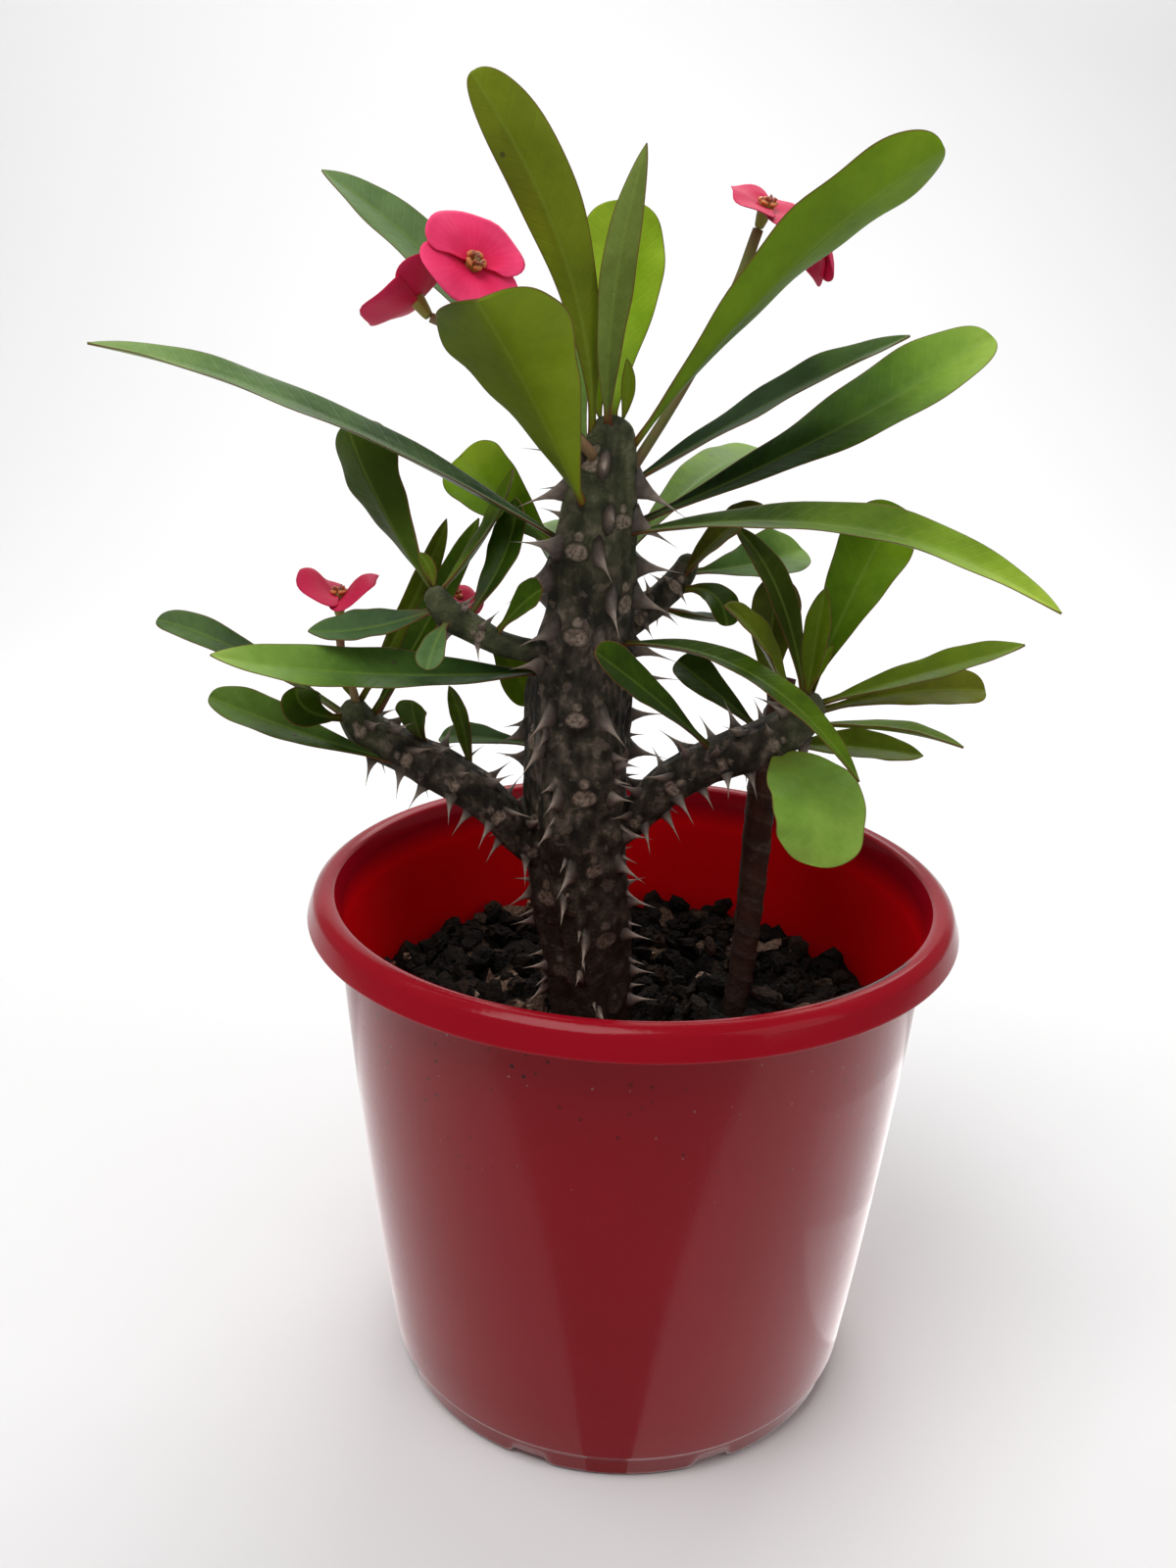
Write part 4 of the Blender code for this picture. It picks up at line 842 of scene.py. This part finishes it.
def thorn_arrays(axis, scars, length, spread_share, companions, seed):
    """Foot, direction, stem direction, length and size share of each thorn, on both sides of the scars."""
    draw = np.random.default_rng(seed)
    rows = []  # distance, angle, length, lean up the stem, size share, lean round the stem
    spacing = FULL_TURN / axis.ribs
    for at, turn, _ in scars:
        for side, (share, shift, more) in itertools.product((-1, 1), ((1.0, 0.0, 0.0),) + companions):
            size = length * share * draw.uniform(0.82, 1.12)
            rows.append((
                at + shift + draw.uniform(-1, 1), turn + side * (spread_share * spacing + more), size,
                draw.uniform(-0.45, 0.22), share, side * draw.uniform(-0.05, 0.3)))
    rows = np.array(rows)
    rows = rows[(rows[:, 0] > 2) & (rows[:, 0] < axis.length - 1)]
    foot, out, way = axis.surface(rows[:, 0], rows[:, 1])
    side = np.cross(way, out)
    lean = unit(out + way * rows[:, 3:4] + side * rows[:, 5:6])
    taller = np.interp(foot[:, 2], *TRUNK_THORNS_GROW) if axis is AXES["trunk"] else 1.0
    stays = (rows[:, 4] == 1) | (foot[:, 2] < HIGH_THORNS)
    return foot[stays], lean[stays], way[stays], (rows[:, 2] * taller)[stays], rows[stays, 4]


def keep_clear(parts, leaves):
    """The thorns whose foot, middle and point all stay off every leaf's midrib."""
    foot, lean, _, length, _ = parts
    keep = np.ones(len(foot), bool)
    for reach in (0.1, 0.55, 1.0):
        spot = foot + lean * (length * reach)[:, None]
        gap = np.linalg.norm(spot[:, None] - leaves[None, :, :3], axis=2) - leaves[None, :, 3]
        keep &= gap.min(1) > THORN_CLEARANCE
    return tuple(part[keep] for part in parts)


def make_thorns(name, parts, width):
    """Thorns as tapering tubes of eight sides.

    The half width falls with a power of the share left to the point, so the foot flares along the stem, and
    the whole thorn bends a little downwards with the square of the share from the foot.
    """
    foot, lean, way, length, share = parts
    s = np.linspace(0, 1, 8) ** 0.9
    turn = circle(8)
    side = unit(np.cross(way, lean))
    along = np.cross(lean, side)
    size = width * ((0.5 + 0.5 * share) * np.clip(length / 9.0, 0.6, 1.3))[:, None]
    wide = size * 1.9 * (1 - s) ** 3.4 + 0.42 * (1 - s) + 0.03
    thin = size * 0.75 * (1 - s) ** 2.6 + 0.34 * (1 - s) + 0.03
    reach = (length[:, None] + THORN_SUNK) * s - THORN_SUNK
    centre = foot[:, None] + lean[:, None] * reach[..., None]
    centre = centre - along[:, None] * (0.10 * length[:, None] * s**2)[..., None]
    grid = centre[:, :, None] + along[:, None, None] * (wide[:, :, None] * np.cos(turn))[..., None]
    grid = grid + side[:, None, None] * (thin[:, :, None] * np.sin(turn))[..., None]
    value = np.broadcast_to(s[None, :, None], grid.shape[:3])
    add_piece(name, close_tubes(grid, {"reach": value}), THORN, "bark")


def make_stems(leaf_lines):
    """The trunk and its branches, then the thorns on them that keep clear of the leaves."""
    thorns = []
    for name, ((first, step, scar_size), grid_size, young_from, width, thorn_row) in MAIN_STEMS.items():
        axis = AXES[name]
        scars = scars_of(axis, first, step)
        stem = close_tubes(*stem_arrays(axis, scars, scar_size, grid_size, young_from))
        add_piece("stem_" + name, stem, BARK, "bark", "main_stem")
        thorns.append((thorn_arrays(axis, scars, *thorn_row), width))
    for number, (parts, width) in enumerate(thorns):
        make_thorns(f"thorns_{number}", keep_clear(parts, leaf_lines), width)


def make_young_stem():
    """The smooth young stem: red-brown, with low paler ridges round it and a thin dark line beside each."""
    axis = AXES["young"]
    distance, angle = axis.grid(*YOUNG_GRID)
    flat, out, _ = axis.surface(distance, angle)
    beat = distance + 1.6 * np.sin(angle + 0.7) + 1.2 * ripple(flat, 40, 2)
    ridge = bell(np.sin(math.pi * beat / YOUNG_RING_STEP) / 0.30)
    line = bell(np.sin(math.pi * (beat - 1.0) / YOUNG_RING_STEP) / 0.14)
    lift = 0.32 * ridge + 0.12 * ripple(flat, 6, 9)
    red = 0.62 + 0.25 * ripple(flat, 14, 11) - 0.25 * ridge
    values = {"scar": 0.42 * ridge, "ring": 0.8 * line, "young": 0 * lift, "red": red}
    values = {key: value[None] for key, value in values.items()}
    stem = close_tubes((flat + out * lift[..., None])[None], values)
    add_piece("stem_young", stem, BARK, "young_bark", "young_stem")


def round_tube(points, radius, sides=14):
    """Grid of a round stalk along a smooth path, its radius swelling and shrinking by 8%."""
    line = smooth_path(points, 10)
    way = unit(np.gradient(line, axis=0))
    guide = np.array([0.3, -1.0, 0.2])
    near = unit(guide - way * (way @ guide)[:, None])
    side = np.cross(way, near)
    turn = circle(sides)
    thick = radius * (1 + 0.08 * np.sin(np.linspace(0, 9, len(line))))
    ring = near[:, None] * np.cos(turn)[:, None] + side[:, None] * np.sin(turn)[:, None]
    return (line[:, None] + ring * thick[:, None, None])[None]


def make_stalk(name, arms, radius):
    """A flower stalk: the main arm, and thinner side arms that start inside it."""
    arms = [round_tube(arm, radius * (1 if number == 0 else 0.85)) for number, arm in enumerate(arms)]
    add_piece(name + "_skin", joined([close_tubes(arm, {}) for arm in arms]), STALK, "stalk", name)


def bract_part(radius, lean, side):
    """One kidney-shaped bract.

    It is part of a disc round the cup. Its reach falls in a shallow notch at the middle and rounds off at
    both ends, and its rim is waved. Its height follows the square of the reach in an open bloom. In a folded
    one it climbs early and levels off, most of all along the middle.
    """
    x = np.sin(np.linspace(-1, 1, 33) * math.pi / 2)[None, :]
    out = np.linspace(0, 1, 16)[:, None]
    turn = x * math.radians(BRACT_SPAN)
    lobe = 1 - 0.09 * bell(turn / 0.30) - np.where(x > 0, 0.46 * np.abs(x) ** 5, 0.30 * np.abs(x) ** 9)
    reach = 1.0 + (radius * lobe - 1.0) * out
    folded = lean > FOLDED_BLOOM
    rise = 1.9 * out - 1.2 * out**2 if folded else out**2
    fold = np.cos(turn) ** 2 if folded else 1.0
    height = CUP_HEIGHT - BRACT_BELOW_MOUTH + side * 0.5 + radius * rise * lean * fold
    height = height + 0.05 * radius * out**2 * np.sin(5 * turn + side)
    height = height + 0.05 * radius * bell((out - 0.55) / 0.3)
    middle = np.stack([reach * np.sin(turn) * 1.08, side * reach * np.cos(turn), height + 0 * turn], -1)
    thick = 0.28 * np.sqrt(np.maximum(0, 1 - out**6)) + 0.05
    values = {"reach": out + 0 * x, "turn": turn + 0 * out, "under": 0 * out * x}
    values = {key: np.concatenate([v.ravel(), v.ravel() + (key == "under")]) for key, v in values.items()}
    return *close_sheet(middle + UP * thick[..., None], middle - UP * thick[..., None]), values


def cup_parts():
    """The cup, its five glands and the small parts in its mouth, each with its part value."""
    s = np.linspace(0, 1, 14)[:, None]
    turn = circle(24)
    wide = 1.2 + (CUP_RADIUS - 1.2) * s**0.7 + 0.10 * np.cos(5 * turn) * s
    found = [(polar(wide, turn, CUP_HEIGHT * s)[None], 0.12 + 0.10 * (s + 0 * turn)[None])]
    for number in range(GLAND_COUNT):
        a = np.linspace(-0.52, 0.52, 9)[:, None]
        ring = circle(10)
        body = np.sqrt(np.maximum(0.02, 1 - (a / 0.56) ** 4))
        r = CUP_RADIUS * 0.92 + 0.75 * body * np.cos(ring)
        z = CUP_HEIGHT + 0.35 + 0.55 * body * np.sin(ring)
        found.append((polar(r, FULL_TURN * number / GLAND_COUNT + a, z)[None], (0.50 + 0 * r)[None]))
    draw = np.random.default_rng(12)
    for _ in range(CUP_TUBES):
        a, r = draw.uniform(0, 6.28), 1.5 * math.sqrt(draw.uniform(0, 1))
        root = np.array([r * math.cos(a), r * math.sin(a), CUP_HEIGHT - 0.5])
        top = root + np.array([0.5 * math.cos(a), 0.5 * math.sin(a), draw.uniform(1.3, 2.6)])
        tube = round_tube([root, (root + top) / 2, top], draw.uniform(0.22, 0.38), 6)
        found.append((tube, np.full(tube.shape[:3], draw.uniform(0.62, 1.0))))
    return [close_tubes(grid, {"part": value}) for grid, value in found]


def make_bloom(name, row):
    """Two broad bracts, spread from below the mouth of a small cup, as one piece; the cup is another."""
    foot, faces_to, radius, turn, lean, deep = row
    upright = Vector(faces_to).normalized()
    spin = Matrix.Rotation(math.radians(turn), 3, "Z")
    stand = np.array(upright.to_track_quat("Z", "Y").to_matrix() @ spin)
    base = np.array(foot, float) + np.array(upright) * CUP_LIFT

    def stood(part):
        """The part turned to face the bloom's way and moved to its foot."""
        points, faces, values = part
        return points @ stand.T + base, faces, values

    bracts = stood(joined([bract_part(radius, lean, side) for side in (-1, 1)]))
    bracts[2]["deep"] = deep + 0 * bracts[2]["reach"]
    add_piece(name + "_bracts", bracts, BRACT, "bract", name)
    add_piece(name + "_cup", stood(joined(cup_parts())), CUP, "bract", name)


def wall_radius(z):
    """Outer radius of the pot's wall at a height: a straight taper and a slight bulge."""
    t = (z - FOOT_HEIGHT) / (POT_HEIGHT - LIP_DROP - FOOT_HEIGHT)
    return WALL_FOOT_RADIUS + (WALL_TOP_RADIUS - WALL_FOOT_RADIUS) * t + WALL_BULGE * 4 * t * (1 - t)


def rounded(points, radius, steps=5):
    """The polyline with each corner replaced by a parabola that starts and ends the radius away from it."""
    p = np.array(points, float)
    rows = [p[:1]]
    t = np.linspace(0, 1, steps)[:, None]
    for a, b, c in zip(p, p[1:], p[2:]):
        reach = min(radius, 0.45 * np.linalg.norm(a - b), 0.45 * np.linalg.norm(c - b))
        start, end = b + unit(a - b) * reach, b + unit(c - b) * reach
        rows.append(start * (1 - t) ** 2 + b * 2 * t * (1 - t) + end * t**2)
    return np.vstack(rows + [p[-1:]])


def pot_line():
    """Radius and height along the pot's profile: floor, inside, lip, outside and foot."""
    top = POT_HEIGHT
    floor = [
        (0.01, POT_WALL), (PAD_RADIUS - 1, POT_WALL), (PAD_RADIUS + 1, CHANNEL_HEIGHT + POT_WALL),
        (FOOT_RADIUS - 5, CHANNEL_HEIGHT + POT_WALL)]
    inner = [(wall_radius(z) - POT_WALL, z) for z in np.linspace(FOOT_HEIGHT + 4, 150, 9)]
    lip = [
        (MOUTH_RADIUS - 1.7, top - 5), (MOUTH_RADIUS - 0.4, top - 0.7), (MOUTH_RADIUS + 1.2, top),
        (MOUTH_RADIUS + 3.4, top + 0.1), (MOUTH_RADIUS + 6, top - 1.8), (LIP_RADIUS, top - LIP_DROP + 0.6),
        (LIP_RADIUS, top - LIP_DROP), (LIP_RADIUS - 1.6, top - LIP_DROP), (MOUTH_RADIUS + 4.6, top - 3.4),
        (MOUTH_RADIUS + 1.0, top - 3.6)]
    outer = [(wall_radius(z), z) for z in np.linspace(top - LIP_DROP, FOOT_HEIGHT, 12)]
    foot = [
        (FOOT_RADIUS, FOOT_HEIGHT - 1.5), (FOOT_RADIUS - 1, 1.2), (FOOT_RADIUS - 2, 0),
        (FOOT_RADIUS - 2 - FOOT_RING, 0), (FOOT_RADIUS - 2 - FOOT_RING, CHANNEL_HEIGHT),
        (PAD_RADIUS + 2.5, CHANNEL_HEIGHT), (PAD_RADIUS + 0.5, 0), (0.01, 0)]
    return rounded(floor + inner + lip + outer + foot, 1.3)


def make_pot():
    """The pot: its profile turned about the axis, with the foot lifted over each drain slot.

    The painted_glow value, which places painted light, is 0 on the outside, 0.5 on the lip and 1 inside.
    """
    line = pot_line()
    share = np.linspace(0, 1, len(line))
    outside = line[:, 0] > wall_radius(line[:, 1]) - 0.9
    # Painted light: these values make the lip lighter and the inside brighter in the plastic's finish.
    painted_glow = np.where(outside | (share > 0.6), 0.0, 1.0)
    painted_glow = np.where(line[:, 1] > POT_HEIGHT - LIP_DROP - 0.2, 0.5, painted_glow)
    turn = circle(288)[None]
    r, z = line[:, :1] + 0 * turn, line[:, 1:] + 0 * turn
    slot = turn * DRAIN_COUNT / FULL_TURN - 0.5
    off = np.abs(slot - np.round(slot)) * FULL_TURN / DRAIN_COUNT * FOOT_RADIUS
    cut = np.clip((DRAIN_WIDTH / 2 + 0.8 - off) / 1.6, 0, 1) * (r > 66) * (r < 75)
    z = np.where(z < DRAIN_HEIGHT, z + (DRAIN_HEIGHT - z) * cut, z)
    # Painted shade: the band where the plastic's finish darkens the rim's inside edge as a shaded recess.
    groove = (np.abs(r - MOUTH_RADIUS - 0.4) < 1.3) * (z > POT_HEIGHT - 1.2)
    groove = groove * np.clip(4 - np.abs(np.degrees(turn) - GROOVE_SHADE_AT) / GROOVE_SHADE_SPREAD, 0, 1)
    values = {"painted_glow": (painted_glow[:, None] + 0 * turn)[None], "groove": groove[None]}
    add_piece("pot_skin", close_tubes(polar(r, turn, z)[None], values), PLASTIC, "pot", "pot")


def soil_height(x, y):
    """Lumpy top of the soil: products of sine waves, higher to the left and the back."""
    lump = np.sin(0.21 * x + 0.13 * y) * np.sin(0.17 * y - 0.08 * x + 1.1)
    lump = lump + 0.6 * np.sin(0.43 * x + 2.1) * np.sin(0.39 * y + 0.4)
    return SOIL_LEVEL + SOIL_LUMP * lump - 0.02 * x + 0.02 * y


def make_soil():
    """The soil: a turned body with a crumbly top, from the sine lumps and finer ripples."""
    turn = circle(200)
    edge = wall_radius(SOIL_LEVEL) - POT_WALL - 0.2
    flat = polar(np.linspace(0.02, 1, 90)[:, None] * edge, turn, 0.0)
    crumb = 1.1 * ripple(flat, 7.0, 31) + 0.7 * np.abs(ripple(flat, 3.6, 32)) + 0.35 * ripple(flat, 1.9, 33)
    top = flat + UP * (soil_height(flat[..., 0], flat[..., 1]) + crumb - 0.8)[..., None]
    low_r = np.array([wall_radius(80.0), wall_radius(30.0), FOOT_RADIUS - 3]) - POT_WALL - 0.4
    low_z = np.array([80.0, 30.0, CHANNEL_HEIGHT + POT_WALL + 0.3])
    low = polar(low_r[:, None], turn, low_z[:, None])
    points, faces, _ = close_tubes(np.concatenate([top, low])[None], {})
    kind = 0.22 + 0.20 * ripple(points, 9, 41) + 0.1 * ripple(points, 3, 42)
    add_piece("soil_bed", (points, faces, {"kind": kind}), SOIL, "soil", "soil")


def block_shape():
    """The 26 points and 24 faces of a cube whose faces are cut in four."""
    index, faces = {}, []
    for axis, end, i, j in itertools.product(range(3), (-1, 1), (-1, 0), (-1, 0)):
        corners = [(end, i, j), (end, i + 1, j), (end, i + 1, j + 1), (end, i, j + 1)]
        face = [index.setdefault(tuple(np.roll(corner, axis)), len(index)) for corner in corners]
        faces.append(face if end > 0 else face[::-1])
    return np.array(list(index), float), np.array(faces)


def rotation(axis, angle):
    """Matrices that turn about x, y or z (0, 1 or 2), one for each angle."""
    i, j = (axis + 1) % 3, (axis + 2) % 3
    made = np.zeros((len(angle), 3, 3))
    made[:, axis, axis] = 1
    made[:, i, i] = made[:, j, j] = np.cos(angle)
    made[:, j, i] = np.sin(angle)
    made[:, i, j] = -made[:, j, i]
    return made


def make_chips(name, count, sizes, seed, kinds, tilt):
    """Bark chips or crumbs: jittered blocks, stretched, turned and bedded on the soil, clear of the stems."""
    draw = np.random.default_rng(seed)
    shape, faces = block_shape()
    shape = shape / (1 + 0.28 * (np.abs(shape).sum(1, keepdims=True) - 1))
    spot = np.arange(count)
    reach = SOIL_SPREAD * np.sqrt((spot + draw.uniform(0, 1, count)) / count)
    turn = spot * GOLDEN_ANGLE + draw.normal(0, 0.25, count)
    x, y = reach * np.cos(turn), reach * np.sin(turn)
    size = np.stack([draw.uniform(low, high, count) for low, high in sizes], -1)
    clear = reach + 0.8 * size[:, 0] < SOIL_PIECES_REACH
    for foot_x, foot_y, radius in STEM_FEET:
        clear &= np.hypot(x - foot_x, y - foot_y) > radius + 0.6 * size[:, 0]
    x, y, size = x[clear], y[clear], size[clear]
    many = len(x)
    body = shape[None] * size[:, None] * draw.uniform(0.72, 1.2, (many, len(shape), 1))
    spin, lean, roll = draw.uniform(0, 6.28, many), draw.normal(0, tilt, many), draw.normal(0, tilt, many)
    body = np.einsum("nij,nkj->nki", rotation(2, spin) @ rotation(1, roll) @ rotation(0, lean), body)
    z = soil_height(x, y) + draw.uniform(0.1, 1.0, many) * size[:, 2]
    body += np.stack([x, y, z], -1)[:, None]
    faces = (faces[None] + (np.arange(many) * len(shape))[:, None, None]).reshape(-1, 4).tolist()
    kind = np.repeat(np.interp(draw.uniform(0, 1, many), *kinds), len(shape))
    add_piece(name, (body.reshape(-1, 3), faces, {"kind": kind}), SOIL, "soil", smooth=False)


def set_stage():
    """A pale floor that curves up behind the plant: a profile of a flat, a quarter circle and a wall."""
    bend = np.linspace(0, math.pi / 2, 24)
    line = [(FLOOR_FRONT, 0.0), (FLOOR_BACK, 0.0)]
    line += list(zip(FLOOR_BACK + BEND_RADIUS * np.sin(bend), BEND_RADIUS - BEND_RADIUS * np.cos(bend)))
    line.append((FLOOR_BACK + BEND_RADIUS, BACKDROP_TOP))
    y, z = np.array(line).T[..., None]
    x = np.linspace(-FLOOR_HALF_WIDTH, FLOOR_HALF_WIDTH, 9)
    grid = np.stack(np.broadcast_arrays(x, y, z - FLOOR_DROP), -1)
    faces = quads_of(np.arange(len(y) * len(x)).reshape(len(y), len(x))).tolist()
    finish = Finish("backdrop_white", 0.9)
    finish.sockets["Base Color"].default_value = (0.86, 0.86, 0.86, 1)
    floor = new_object("backdrop", (grid.reshape(-1, 3), faces, {}), finish.material)


def set_pose(thing, right, up, back, place):
    """Puts a lamp or the camera at a place, its x, y and z axes along three directions."""
    pose = np.eye(4)
    pose[:3] = np.stack([right, up, back, place], -1)
    thing.matrix_world = Matrix(pose.tolist())


def new_lamp(name, shape, size):
    data = bpy.data.lights.new(name, "AREA")
    data.shape = shape
    data.size, data.size_y = size
    lamp = bpy.data.objects.new(name, data)
    bpy.context.scene.collection.objects.link(lamp)
    return lamp


def add_light(name, place, target, size, watts):
    """A soft light that shines from its place towards its target."""
    lamp = new_lamp(name, "RECTANGLE", size)
    lamp.data.energy = watts
    back = unit(np.array(place, float) - np.array(target, float))
    right = unit(np.cross(UP, back))
    set_pose(lamp, right, np.cross(back, right), back, place)


def add_panel(name, centre, size, radiance):
    """An oval light panel lying on the floor beside the pot, seen only in the plastic's gloss."""
    panel = new_lamp(name, "ELLIPSE", (size[0] * MM, size[1] * MM))
    panel.data.energy = radiance * math.pi * math.pi / 4 * panel.data.size * panel.data.size_y
    panel.visible_camera = panel.visible_diffuse = False
    place = Matrix.Translation((centre[0] * MM, centre[1] * MM, MM))
    panel.matrix_world = place @ Matrix.Rotation(math.pi, 4, "X")


def set_lights():
    """Soft light from above and both sides, the panels on the floor, and an even sky."""
    world = bpy.data.worlds.new("soft_sky")
    world.use_nodes = True
    tree = world.node_tree
    sky = tree.nodes["Background"]
    sky.inputs["Color"].default_value = (1.0, 1.0, 1.0, 1)
    (node(tree, "ShaderNodeLightPath", "Is Camera Ray") * SKY_SEEN + SKY_LIGHT).link(sky.inputs["Strength"])
    bpy.context.scene.world = world
    for name, row in LIGHTS.items():
        add_light(name, *row)
    for name, row in PANELS.items():
        add_panel(name, *row)


def set_camera():
    """The camera where the photograph was taken."""
    pitch, roll, yaw = CAMERA_PITCH, CAMERA_ROLL, CAMERA_YAW
    ahead = np.array([math.sin(yaw) * math.cos(pitch), math.cos(yaw) * math.cos(pitch), -math.sin(pitch)])
    right = np.array([math.cos(yaw), -math.sin(yaw), 0.0])
    up = np.cross(right, ahead)
    rolled_right = math.cos(roll) * right + math.sin(roll) * up
    rolled_up = -math.sin(roll) * right + math.cos(roll) * up
    data = bpy.data.cameras.new("camera")
    data.sensor_width = SENSOR
    data.lens = SENSOR * FOCAL_PIXELS / PHOTO_HEIGHT
    data.clip_end = 20
    camera = bpy.data.objects.new("camera", data)
    set_pose(camera, rolled_right, rolled_up, -ahead, CAMERA_PLACE)
    bpy.context.scene.collection.objects.link(camera)
    bpy.context.scene.camera = camera
    bpy.context.scene.view_settings.view_transform = "Standard"


set_stage()
set_lights()
set_camera()
make_pot()
make_soil()
for name, row in SOIL_PIECES.items():
    make_chips(name, *row)
leaf_lines = [make_leaf(*leaf, number) for number, leaf in each_leaf(LEAVES)]
make_small_leaves()
make_stems(np.concatenate(leaf_lines))
make_young_stem()
for name, (arms, radius) in STALKS.items():
    make_stalk(name, arms, radius)
for name, row in BLOOMS.items():
    make_bloom(name, row)
